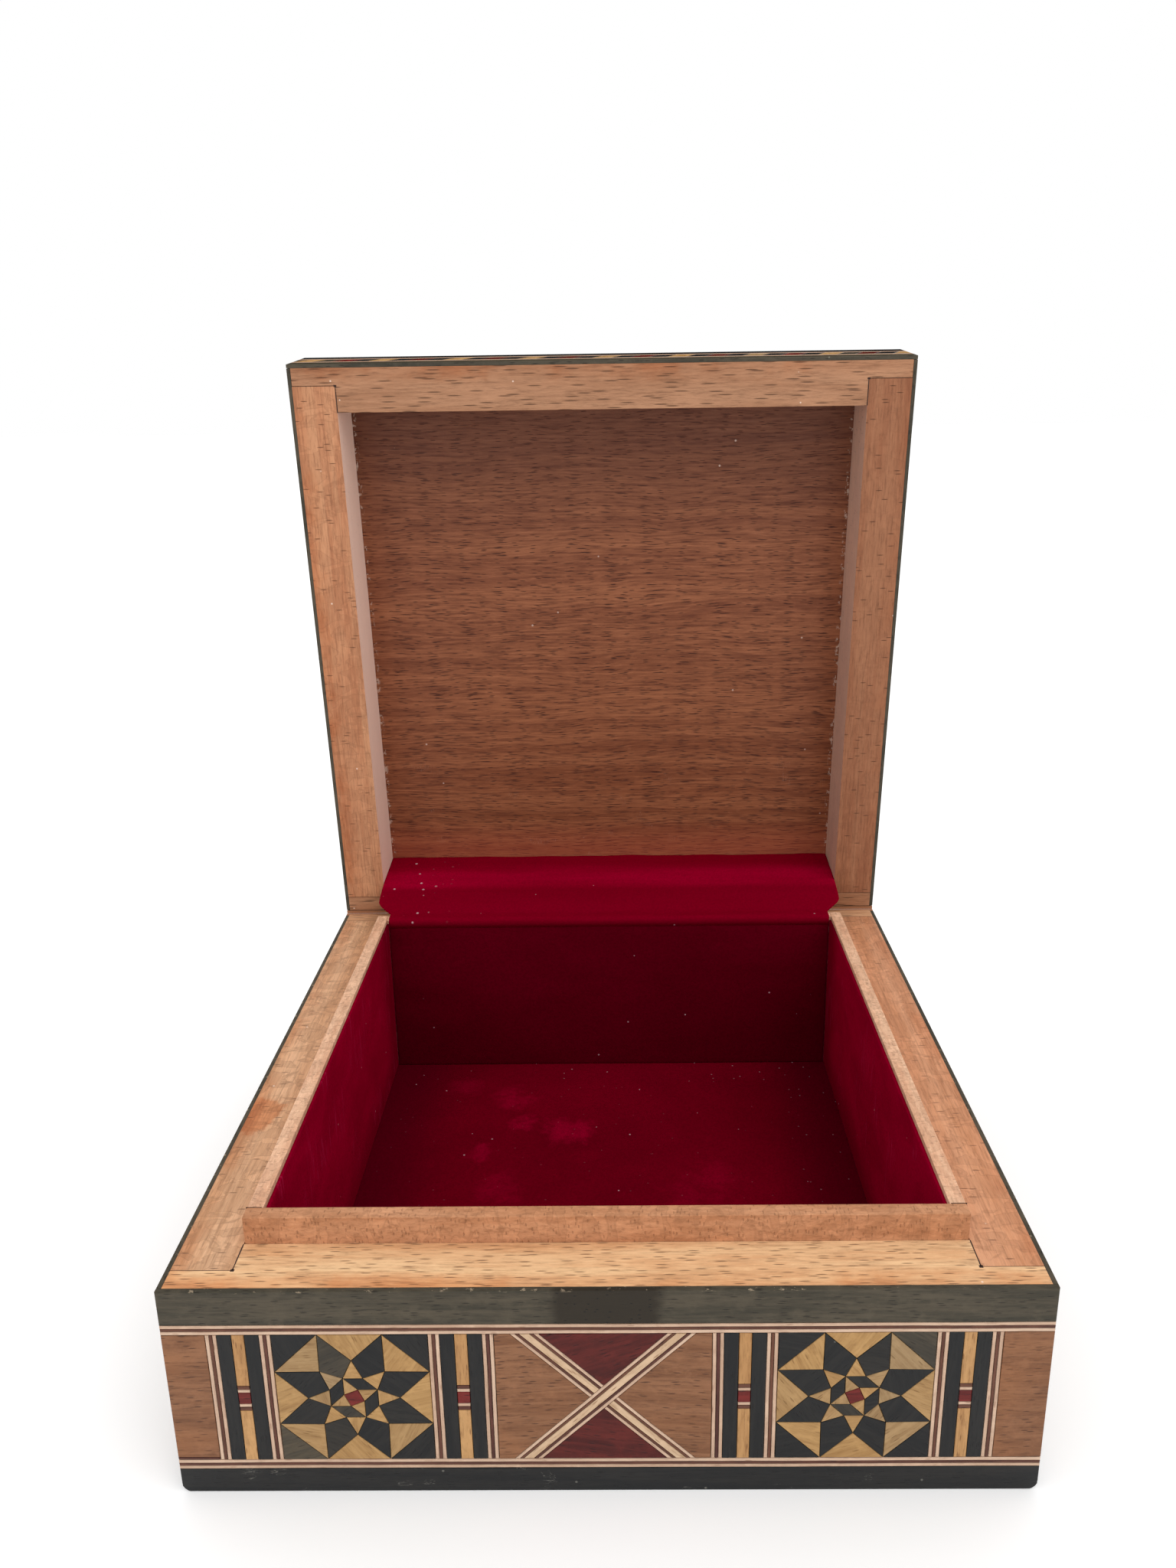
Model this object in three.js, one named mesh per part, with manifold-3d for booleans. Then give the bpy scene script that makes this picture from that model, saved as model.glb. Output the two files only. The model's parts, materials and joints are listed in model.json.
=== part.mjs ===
// An inlaid wooden box: a square beech casket with a hinged lid, marquetry skins outside and a velvet lining.
// Millimetres, +Z up. The origin is the middle of the underside, and -Y is the front.
// The lid stands open, tipped back on the hinges along the top of the back, as far as its web lets it.

import * as THREE from 'three';
import { mergeVertices } from 'three/addons/utils/BufferGeometryUtils.js';
import Module from 'manifold-3d';

// ---- Driving dimensions ----

const BOX_WIDTH = 155;
const BOX_DEPTH = 155;
const BASE_HEIGHT = 44;
const LID_HEIGHT = 20;
const OPEN_ANGLE = 84; // degrees from closed to open

const WALL = 12; // wall of the base with its skin
const LID_WALL = 11.7; // a little thinner, so that the lid clears the lip
const LID_BACK_WALL = 9.3; // thinner still, so that the web has room to fold
const TONGUE = 5.2; // what the corner rabbets leave of the front and back boards, with the skin
const SKIN = 0.9; // marquetry
const GLUE = 0.05; // glue line
const SEAM = 0.2; // between the two rims when the lid is shut
const FOOT_ROUND = 2; // worn round of the bottom edges at the left and right

const BOTTOM_PANEL = 2.4;
const LID_PANEL = 3;
const LINER = 2.9;
const LIP = 5.6; // how far the liners stand above the rim
const VELVET = 0.6;
const LINER_DROP = 0.6; // the velvet-backed side liners sit this much lower than the front one
const BACK_LINER_OFFSET = 1; // room behind the back liner for the lid's velvet
const WEB_CLEARANCE = 0.4; // off the liner at one end of the web and off the lid at the other

// Marquetry of the front, from the bottom edge upwards and from the middle outwards
const BOTTOM_BAND = 5.3;
const STRINGING = 2.05;
const FRIEZE = 27.5;
const CENTRE_PANEL = 38;
const POST = 11.45; // a striped post between two panels
const STAR_PANEL = 27.4;
const FRIEZE_SHIFT = -0.5; // the whole frieze was laid this far off the middle

// Butt hinges
const HINGE_SPACING = 78; // between the middles of the two hinges
const HINGE_LENGTH = 18;
const LEAF_WIDTH = 7.5; // from the pin's axis to the edge of the leaf
const LEAF_THICKNESS = 0.8;
const KNUCKLE_RADIUS = 1.4;
const MIDDLE_KNUCKLE = 6;
const KNUCKLE_GAP = 0.2;
const PIN_RADIUS = 0.65;
const PIN_CLEARANCE = 0.1;
const NOTCH_CLEARANCE = 0.4; // round the knuckles
const MORTISE_CLEARANCE = 0.15; // round the leaves
const NAIL_SPACING = 10;
const NAIL_INSET = 4.4; // from the pin's axis
const NAIL_HEAD_RADIUS = 1.1;
const NAIL_HEAD = 0.3;
const NAIL_RADIUS = 0.45;
const NAIL_LENGTH = 7;
const NAIL_CLEARANCE = 0.1;

// How finely the round stretches are faceted, and how far a cut runs past the face that it opens
const ROD_SIDES = 20;
const NAIL_SIDES = 14;
const ARC_STEPS = 6;
const OVERCUT = 1;

// ---- What follows from them ----

const halfWidth = BOX_WIDTH / 2;
const halfDepth = BOX_DEPTH / 2;
const insideX = halfWidth - WALL;
const insideY = halfDepth - WALL;
const panelTop = BOTTOM_PANEL;
const floorTop = panelTop + GLUE + VELVET;
const lipTop = BASE_HEIGHT + LIP;
const boardFace = SKIN + GLUE; // from an outer face to the beech
const rimDepth = SEAM / 2; // from the hinge's plane to a rim
const lidPanelBottom = LID_HEIGHT - SKIN - GLUE - LID_PANEL;
const hingeSides = [['left', -HINGE_SPACING / 2], ['right', HINGE_SPACING / 2]];
const nailOffsets = [-NAIL_SPACING / 2, NAIL_SPACING / 2];

// ---- Materials ----

function finish(color, roughness, metalness = 0) {
  return new THREE.MeshStandardMaterial({ color, roughness, metalness });
}

const materials = {
  beech: finish('#c08a6c', 0.6),
  sapele: finish('#7c4a35', 0.55),
  plywood: finish('#b89468', 0.8),
  velvet: finish('#6e0018', 0.95),
  brass: finish('#b08d4a', 0.35, 1),
  steel: finish('#8c8a86', 0.4, 1),
  greyGreen: finish('#4b4f45', 0.3),
  ebonised: finish('#24282a', 0.3),
  holly: finish('#dcc9a4', 0.4),
  walnut: finish('#8a5a38', 0.4),
  mosaic: finish('#c9a654', 0.35),
};

// ---- Solids ----

const wasm = await Module();
wasm.setup();

function toSolid(geometry) {
  const bare = new THREE.BufferGeometry();
  bare.setAttribute('position', geometry.getAttribute('position'));
  bare.setIndex(geometry.getIndex());
  const merged = mergeVertices(bare, 1e-5);
  const mesh = new wasm.Mesh({
    numProp: 3,
    vertProperties: new Float32Array(merged.getAttribute('position').array),
    triVerts: new Uint32Array(merged.getIndex().array),
  });
  return new wasm.Manifold(mesh);
}

function toGeometry(solid) {
  const mesh = solid.getMesh();
  const geometry = new THREE.BufferGeometry();
  geometry.setAttribute('position', new THREE.BufferAttribute(new Float32Array(mesh.vertProperties), 3));
  geometry.setIndex(new THREE.BufferAttribute(new Uint32Array(mesh.triVerts), 1));
  geometry.computeVertexNormals();
  return geometry;
}

// A block between two opposite corners.
function block([x0, y0, z0], [x1, y1, z1]) {
  const geometry = new THREE.BoxGeometry(x1 - x0, y1 - y0, z1 - z0);
  return geometry.translate((x0 + x1) / 2, (y0 + y1) / 2, (z0 + z1) / 2);
}

// An outline in X and Y, given as corners, extruded upwards.
function upright(corners, z0, z1) {
  const shape = new THREE.Shape(corners.map(([x, y]) => new THREE.Vector2(x, y)));
  return new THREE.ExtrudeGeometry(shape, { depth: z1 - z0, bevelEnabled: false }).translate(0, 0, z0);
}

// A rod along X.
function rod(radius, x0, x1, y, z) {
  const geometry = new THREE.CylinderGeometry(radius, radius, x1 - x0, ROD_SIDES);
  return geometry.rotateZ(Math.PI / 2).translate((x0 + x1) / 2, y, z);
}

// The space that the worn base keeps to: its left and right bottom edges are round.
function wornEnvelope() {
  const shape = new THREE.Shape();
  const top = BASE_HEIGHT + OVERCUT;
  shape.moveTo(-halfWidth, top);
  shape.lineTo(-halfWidth, FOOT_ROUND);
  shape.absarc(-halfWidth + FOOT_ROUND, FOOT_ROUND, FOOT_ROUND, Math.PI, Math.PI * 1.5, false);
  shape.absarc(halfWidth - FOOT_ROUND, FOOT_ROUND, FOOT_ROUND, Math.PI * 1.5, Math.PI * 2, false);
  shape.lineTo(halfWidth, top);
  const settings = { depth: BOX_DEPTH + 2 * OVERCUT, bevelEnabled: false, curveSegments: ARC_STEPS };
  const geometry = new THREE.ExtrudeGeometry(shape, settings);
  return toSolid(geometry.rotateX(Math.PI / 2).translate(0, halfDepth + OVERCUT, 0));
}

const envelope = wornEnvelope();
const worn = (geometry) => toGeometry(toSolid(geometry).intersect(envelope));

function withoutAll(geometry, cuts) {
  let solid = toSolid(geometry);
  for (const cut of cuts) solid = solid.subtract(toSolid(cut));
  return toGeometry(solid);
}

function addPiece(group, name, geometry, material) {
  const mesh = new THREE.Mesh(geometry, material);
  mesh.name = name;
  group.add(mesh);
}

// A front or back board: the full width outside, and between the side boards inside.
// outer and inner are the Y of its two faces, and step is the Y of the rabbets.
function rabbetedBoard(outer, step, inner, insideHalf, z0, z1) {
  const full = halfWidth - boardFace;
  const corners = [[-full, outer], [full, outer], [full, step], [insideHalf, step]];
  corners.push([insideHalf, inner], [-insideHalf, inner], [-insideHalf, step], [-full, step]);
  return upright(outer < inner ? corners : corners.reverse(), z0, z1);
}

// ---- Hinges ----

// Everything in this section is in the hinge's frame: X along the pin, Z up, and the leaf lying towards -Y.
// side is -1 for the leaf under the pin's plane and 1 for the leaf over it.

function knuckleSpans(side) {
  const middle = MIDDLE_KNUCKLE / 2;
  const end = HINGE_LENGTH / 2;
  return side > 0 ? [[-middle, middle]] : [[-end, -middle - KNUCKLE_GAP], [middle + KNUCKLE_GAP, end]];
}

function leafBlock(side, clearance = 0) {
  const near = side * rimDepth;
  const far = side * (rimDepth + LEAF_THICKNESS + clearance);
  const overRim = clearance > 0 ? side * OVERCUT : 0;
  const z = [near - overRim, far].sort((a, b) => a - b);
  const halfLength = HINGE_LENGTH / 2 + clearance;
  return block([-halfLength, -LEAF_WIDTH - clearance, z[0]], [halfLength, 0, z[1]]);
}

// A flat-headed nail under the leaf's face, its head flush, as a turned profile about its own axis.
function nailShape(side, x, clearance = 0) {
  const headRadius = NAIL_HEAD_RADIUS + clearance;
  const head = NAIL_HEAD + clearance;
  const radius = NAIL_RADIUS + clearance;
  const length = NAIL_LENGTH + clearance;
  const above = clearance > 0 ? OVERCUT : 0;
  const shank = [[0, -length], [radius, -length], [radius, -head]];
  const profile = [...shank, [headRadius, -head], [headRadius, above], [0, above]];
  const points = profile.map(([r, y]) => new THREE.Vector2(r, y));
  const geometry = new THREE.LatheGeometry(points, NAIL_SIDES);
  const turn = side > 0 ? -Math.PI / 2 : Math.PI / 2;
  return geometry.rotateX(turn).translate(x, -NAIL_INSET, side * rimDepth);
}

function leaf(side) {
  const knuckles = knuckleSpans(side).map(([x0, x1]) => rod(KNUCKLE_RADIUS, x0, x1, 0, 0));
  let solid = toSolid(leafBlock(side));
  for (const [x0, x1] of knuckleSpans(-side)) {
    const reach = KNUCKLE_RADIUS + NOTCH_CLEARANCE;
    solid = solid.subtract(toSolid(rod(reach, x0 - KNUCKLE_GAP, x1 + KNUCKLE_GAP, 0, 0)));
  }
  solid = knuckles.reduce((whole, knuckle) => whole.add(toSolid(knuckle)), solid);
  solid = solid.subtract(toSolid(rod(PIN_RADIUS + PIN_CLEARANCE, -HINGE_LENGTH, HINGE_LENGTH, 0, 0)));
  for (const x of nailOffsets) solid = solid.subtract(toSolid(nailShape(side, x, NAIL_CLEARANCE)));
  return toGeometry(solid);
}

// What the boards and skins lose to one hinge.
function hingeCuts(side, x, y, z) {
  const reach = HINGE_LENGTH / 2 + MORTISE_CLEARANCE;
  const trough = rod(KNUCKLE_RADIUS + NOTCH_CLEARANCE, -reach, reach, 0, 0);
  const cuts = [leafBlock(side, MORTISE_CLEARANCE), trough];
  for (const offset of nailOffsets) cuts.push(nailShape(side, offset, NAIL_CLEARANCE));
  return cuts.map((cut) => cut.translate(x, y, z));
}

function withHingeCuts(geometry, side, y, z) {
  return withoutAll(geometry, hingeSides.flatMap(([, x]) => hingeCuts(side, x, y, z)));
}

// ---- Base ----

const hingeY = halfDepth;
const hingeZ = BASE_HEIGHT + rimDepth;

function addBaseBoards(base) {
  const outer = halfDepth - boardFace;
  const step = halfDepth - TONGUE;
  const front = rabbetedBoard(-outer, -step, -insideY, insideX, 0, BASE_HEIGHT);
  const back = rabbetedBoard(outer, step, insideY, insideX, 0, BASE_HEIGHT);
  addPiece(base, 'base_front_board', worn(front), materials.beech);
  addPiece(base, 'base_back_board', worn(withHingeCuts(back, -1, hingeY, hingeZ)), materials.beech);
  for (const [side, sign] of [['left', -1], ['right', 1]]) {
    const x = [sign * (insideX + GLUE), sign * (halfWidth - boardFace)].sort((a, b) => a - b);
    const board = block([x[0], -step + GLUE, 0], [x[1], step - GLUE, BASE_HEIGHT]);
    addPiece(base, `base_${side}_board`, worn(board), materials.beech);
  }
  const panelX = insideX - GLUE;
  const panelY = insideY - GLUE;
  addPiece(base, 'bottom_panel', block([-panelX, -panelY, 0], [panelX, panelY, panelTop]), materials.plywood);
}

// The liners stand on the bottom panel. The front one spans the whole inside and the others end against it.
function addLiners(base) {
  const z0 = panelTop + GLUE;
  const outerX = insideX - GLUE;
  const innerX = outerX - LINER;
  const frontOuter = -insideY + GLUE;
  const frontInner = frontOuter + LINER;
  const backOuter = insideY - BACK_LINER_OFFSET;
  const backInner = backOuter - LINER;
  const sideTop = lipTop - LINER_DROP;
  const frontLiner = block([-outerX, frontOuter, z0], [outerX, frontInner, lipTop]);
  addPiece(base, 'front_liner', frontLiner, materials.beech);
  const backHalf = innerX - GLUE;
  const backLiner = block([-backHalf, backInner, z0], [backHalf, backOuter, sideTop]);
  addPiece(base, 'back_liner', backLiner, materials.beech);
  for (const [side, sign] of [['left', -1], ['right', 1]]) {
    const x = [sign * innerX, sign * outerX].sort((a, b) => a - b);
    const liner = block([x[0], frontInner + GLUE, z0], [x[1], backOuter, sideTop]);
    addPiece(base, `${side}_liner`, liner, materials.beech);
  }
  addLining(base, innerX, frontInner, backInner, sideTop);
}

// Velvet inside the liners: a floor, front and back pieces between the side pieces.
function addLining(base, linerX, frontY, backY, top) {
  const outerX = linerX - GLUE;
  const innerX = outerX - VELVET;
  const y0 = frontY + GLUE;
  const y1 = backY - GLUE;
  const floorZ = panelTop + GLUE;
  const wallZ = floorTop + GLUE;
  addPiece(base, 'floor_velvet', block([-outerX, y0, floorZ], [outerX, y1, floorTop]), materials.velvet);
  addPiece(base, 'left_velvet', block([-outerX, y0, wallZ], [-innerX, y1, top]), materials.velvet);
  addPiece(base, 'right_velvet', block([innerX, y0, wallZ], [outerX, y1, top]), materials.velvet);
  const clearX = innerX - GLUE;
  addPiece(base, 'front_velvet', block([-clearX, y0, wallZ], [clearX, y0 + VELVET, top]), materials.velvet);
  addPiece(base, 'back_velvet', block([-clearX, y1 - VELVET, wallZ], [clearX, y1, top]), materials.velvet);
}

// A piece of the front skin between two X and two Z.
function frontSkin(x0, x1, z0, z1) {
  return block([x0, -halfDepth, z0], [x1, -halfDepth + SKIN, z1]);
}

function addFrontMarquetry(base) {
  const friezeBottom = BOTTOM_BAND + STRINGING;
  const friezeTop = friezeBottom + FRIEZE;
  const upperBand = friezeTop + STRINGING;
  const joint = GLUE / 2; // each piece gives up half a glue line
  const row = (name, z0, z1, material) => {
    const below = z0 > 0 ? joint : 0;
    const above = z1 < BASE_HEIGHT ? joint : 0;
    const skin = frontSkin(-halfWidth, halfWidth, z0 + below, z1 - above);
    addPiece(base, name, worn(skin), material);
  };
  row('front_bottom_band', 0, BOTTOM_BAND, materials.ebonised);
  row('front_bottom_stringing', BOTTOM_BAND, friezeBottom, materials.holly);
  row('front_top_stringing', friezeTop, upperBand, materials.holly);
  row('front_top_band', upperBand, BASE_HEIGHT, materials.greyGreen);

  const centreEdge = CENTRE_PANEL / 2;
  const starNear = centreEdge + POST;
  const starFar = starNear + STAR_PANEL;
  const endNear = starFar + POST;
  const cell = (name, x0, x1, material) => {
    const skin = frontSkin(x0 + joint, x1 - joint, friezeBottom + joint, friezeTop - joint);
    addPiece(base, name, skin, material);
  };
  cell('front_centre_panel', FRIEZE_SHIFT - centreEdge, FRIEZE_SHIFT + centreEdge, materials.walnut);
  for (const [side, sign] of [['left', -1], ['right', 1]]) {
    const span = (near, far) => [FRIEZE_SHIFT + sign * near, FRIEZE_SHIFT + sign * far].sort((a, b) => a - b);
    cell(`front_${side}_inner_post`, ...span(centreEdge, starNear), materials.mosaic);
    cell(`front_${side}_star`, ...span(starNear, starFar), materials.mosaic);
    cell(`front_${side}_outer_post`, ...span(starFar, endNear), materials.mosaic);
    const boxEdge = sign * (halfWidth + joint); // no glue line there
    const end = [FRIEZE_SHIFT + sign * endNear, boxEdge].sort((a, b) => a - b);
    cell(`front_${side}_end_panel`, ...end, materials.walnut);
  }
}

// The skins of the other sides are one sheet each.
function addBaseSkins(base) {
  for (const [side, sign] of [['left', -1], ['right', 1]]) {
    const x = [sign * (halfWidth - SKIN), sign * halfWidth].sort((a, b) => a - b);
    const reach = halfDepth - SKIN - GLUE;
    const skin = block([x[0], -reach, 0], [x[1], reach, BASE_HEIGHT]);
    addPiece(base, `base_${side}_skin`, worn(skin), materials.walnut);
  }
  const back = block([-halfWidth, halfDepth - SKIN, 0], [halfWidth, halfDepth, BASE_HEIGHT]);
  addPiece(base, 'base_back_skin', worn(withHingeCuts(back, -1, hingeY, hingeZ)), materials.walnut);
}

// ---- Lid ----

// In the lid's own frame it is shut: the hinge's axis is at Y 0 and Z 0, the rim is just above it,
// and the front edge is at Y -BOX_DEPTH.

const lidInsideX = halfWidth - LID_WALL;
const lidBack = -boardFace;
const lidFront = -BOX_DEPTH + boardFace;

function addLidBoards(lid) {
  const z0 = rimDepth;
  const z1 = lidPanelBottom;
  const frontStep = -BOX_DEPTH + TONGUE;
  const front = rabbetedBoard(lidFront, frontStep, -BOX_DEPTH + LID_WALL, lidInsideX, z0, z1);
  const back = rabbetedBoard(lidBack, -TONGUE, -LID_BACK_WALL, lidInsideX, z0, z1);
  addPiece(lid, 'lid_front_board', front, materials.beech);
  addPiece(lid, 'lid_back_board', withHingeCuts(back, 1, 0, 0), materials.beech);
  for (const [side, sign] of [['left', -1], ['right', 1]]) {
    const x = [sign * (lidInsideX + GLUE), sign * (halfWidth - boardFace)].sort((a, b) => a - b);
    const board = block([x[0], frontStep + GLUE, z0], [x[1], -TONGUE - GLUE, z1]);
    addPiece(lid, `lid_${side}_board`, board, materials.beech);
  }
  const panelX = halfWidth - boardFace;
  const panelZ = [lidPanelBottom + GLUE, lidPanelBottom + LID_PANEL];
  const panel = block([-panelX, lidFront, panelZ[0]], [panelX, lidBack, panelZ[1]]);
  addPiece(lid, 'lid_panel', panel, materials.sapele);
  const velvetX = lidInsideX - GLUE;
  const velvetY = -LID_BACK_WALL - GLUE;
  const velvet = block([-velvetX, velvetY - VELVET, z0 + GLUE], [velvetX, velvetY, lidPanelBottom - GLUE]);
  addPiece(lid, 'lid_back_velvet', velvet, materials.velvet);
}

function addLidSkins(lid) {
  const z0 = rimDepth;
  const z1 = LID_HEIGHT - SKIN - GLUE;
  const front = block([-halfWidth, -BOX_DEPTH, z0], [halfWidth, -BOX_DEPTH + SKIN, z1]);
  const back = block([-halfWidth, -SKIN, z0], [halfWidth, 0, z1]);
  addPiece(lid, 'lid_front_skin', front, materials.walnut);
  addPiece(lid, 'lid_back_skin', withHingeCuts(back, 1, 0, 0), materials.walnut);
  for (const [side, sign] of [['left', -1], ['right', 1]]) {
    const x = [sign * (halfWidth - SKIN), sign * halfWidth].sort((a, b) => a - b);
    const skin = block([x[0], -BOX_DEPTH + SKIN + GLUE, z0], [x[1], -SKIN - GLUE, z1]);
    addPiece(lid, `lid_${side}_skin`, skin, materials.walnut);
  }
  const top = block([-halfWidth, -BOX_DEPTH, LID_HEIGHT - SKIN], [halfWidth, 0, LID_HEIGHT]);
  addPiece(lid, 'lid_top_skin', top, materials.mosaic);
}

// ---- Hinge hardware and the web over it ----

function addHinges(base, lid) {
  for (const [side, x] of hingeSides) {
    addPiece(base, `${side}_hinge_base_leaf`, leaf(-1).translate(x, hingeY, hingeZ), materials.brass);
    addPiece(lid, `${side}_hinge_lid_leaf`, leaf(1).translate(x, 0, 0), materials.brass);
    const halfLength = HINGE_LENGTH / 2;
    const pin = rod(PIN_RADIUS, -halfLength, halfLength, 0, 0).translate(x, hingeY, hingeZ);
    addPiece(base, `${side}_hinge_pin`, pin, materials.steel);
    nailOffsets.forEach((offset, index) => {
      const baseNail = nailShape(-1, offset).translate(x, hingeY, hingeZ);
      addPiece(base, `${side}_hinge_base_nail_${index + 1}`, baseNail, materials.steel);
      const lidNail = nailShape(1, offset).translate(x, 0, 0);
      addPiece(lid, `${side}_hinge_lid_nail_${index + 1}`, lidNail, materials.steel);
    });
  }
}

// The web is a taut strip from the top of the back liner to the inner edge of the lid's rim.
function addWeb(base, lid) {
  const start = new THREE.Vector2(insideY - BACK_LINER_OFFSET, lipTop - LINER_DROP + WEB_CLEARANCE);
  const rimEdge = new THREE.Vector3(0, -LID_BACK_WALL, 0).applyMatrix4(lid.matrix);
  const end = new THREE.Vector2(rimEdge.y - WEB_CLEARANCE, rimEdge.z);
  const along = end.clone().sub(start).normalize();
  const across = new THREE.Vector2(-along.y, along.x).multiplyScalar(VELVET);
  const corners = [start, end, end.clone().add(across), start.clone().add(across)];
  const reach = insideX - LINER - 2 * GLUE;
  const shape = new THREE.Shape(corners);
  const strip = new THREE.ExtrudeGeometry(shape, { depth: 2 * reach, bevelEnabled: false });
  const turned = strip.rotateZ(Math.PI / 2).rotateY(Math.PI / 2).translate(-reach, 0, 0);
  addPiece(base, 'hinge_web', turned, materials.velvet);
}

// ---- Assembly ----

const box = new THREE.Group();
const base = new THREE.Group();
const lid = new THREE.Group();
box.add(base, lid);

lid.position.set(0, hingeY, hingeZ);
lid.rotation.x = -THREE.MathUtils.degToRad(OPEN_ANGLE);
lid.updateMatrix();

addBaseBoards(base);
addLiners(base);
addFrontMarquetry(base);
addBaseSkins(base);
addLidBoards(lid);
addLidSkins(lid);
addHinges(base, lid);
addWeb(base, lid);

export default box;
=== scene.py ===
"""The look of an inlaid wooden box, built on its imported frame.

A square beech casket stands open, its lid tipped back on small hinges hidden under a velvet web. Marquetry
covers the outside and crimson velvet lines the inside. Sizes named here are millimetres, and -Y is the front.
"""

import json
import math
import random

import bmesh
import bpy
from mathutils import Euler, Matrix, Vector, noise


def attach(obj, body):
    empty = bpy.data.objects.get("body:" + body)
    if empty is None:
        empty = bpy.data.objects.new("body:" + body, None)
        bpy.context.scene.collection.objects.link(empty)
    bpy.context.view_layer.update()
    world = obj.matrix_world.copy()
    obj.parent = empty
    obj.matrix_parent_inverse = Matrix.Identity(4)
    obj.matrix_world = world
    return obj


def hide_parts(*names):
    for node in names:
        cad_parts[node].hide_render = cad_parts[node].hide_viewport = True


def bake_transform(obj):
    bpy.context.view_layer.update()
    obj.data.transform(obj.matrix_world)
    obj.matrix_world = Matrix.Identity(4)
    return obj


MM = 0.001

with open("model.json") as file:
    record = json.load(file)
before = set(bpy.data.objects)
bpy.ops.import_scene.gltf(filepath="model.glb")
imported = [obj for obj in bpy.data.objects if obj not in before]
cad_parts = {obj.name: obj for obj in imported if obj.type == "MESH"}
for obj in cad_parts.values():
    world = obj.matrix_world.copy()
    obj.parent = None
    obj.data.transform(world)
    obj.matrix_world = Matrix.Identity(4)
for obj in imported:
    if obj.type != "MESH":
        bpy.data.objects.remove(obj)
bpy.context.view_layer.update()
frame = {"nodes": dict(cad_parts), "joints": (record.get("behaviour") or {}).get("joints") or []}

# ---- Places ----

# Axes in millimetres: of the base, of the base from the hinges' line, and of the lid. The lid's are turned
# with it, so that in them it is shut, with the hinges' line at Y 0 and Z 0.
hinge = frame["joints"][0]
tipped_back = math.radians(min(hinge["range_deg"]))
BASE = Matrix.Scale(MM, 4)
HINGE_LINE = Matrix.Translation(hinge["pos_m"]) @ Matrix.Scale(MM, 4)
LID = Matrix.Translation(hinge["pos_m"]) @ Matrix.Rotation(tipped_back, 4, "X") @ Matrix.Scale(MM, 4)


def node_box(node, place=BASE):
    """Lowest and highest corner of a CAD node in the axes of place."""
    inverse = place.inverted()
    points = [inverse @ vertex.co for vertex in frame["nodes"][node].data.vertices]
    low = Vector(min(point[axis] for point in points) for axis in range(3))
    high = Vector(max(point[axis] for point in points) for axis in range(3))
    return low, high


front_low, front_high = node_box("front_top_band")
LEFT, RIGHT = front_low.x, front_high.x
FRONT, BACK = front_low.y, node_box("base_back_skin")[1].y
SKIN = front_high.y - front_low.y
RIM = front_high.z
WIDTH = RIGHT - LEFT
DEPTH = BACK - FRONT
FLOOR_TOP = node_box("floor_velvet")[1].z
WALL_BACK = node_box("back_velvet")[0].y
FOLD_TOP = node_box("back_liner")[1].z
PANEL_EDGE = -node_box("lid_left_board", LID)[1].x  # where the lid's panel meets the side boards


# ---- Materials ----


def rgb(red, green, blue):
    """A colour given in 0 to 255 as seen, as the linear values that a shader takes."""

    def linear(value):
        share = value / 255
        return share / 12.92 if share <= 0.04045 else ((share + 0.055) / 1.055) ** 2.4

    return (linear(red), linear(green), linear(blue), 1.0)


def shaded(colour, share):
    """A colour made darker, or lighter, by a share."""
    return tuple(min(1.0, channel * share) for channel in colour[:3]) + (1.0,)


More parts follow.
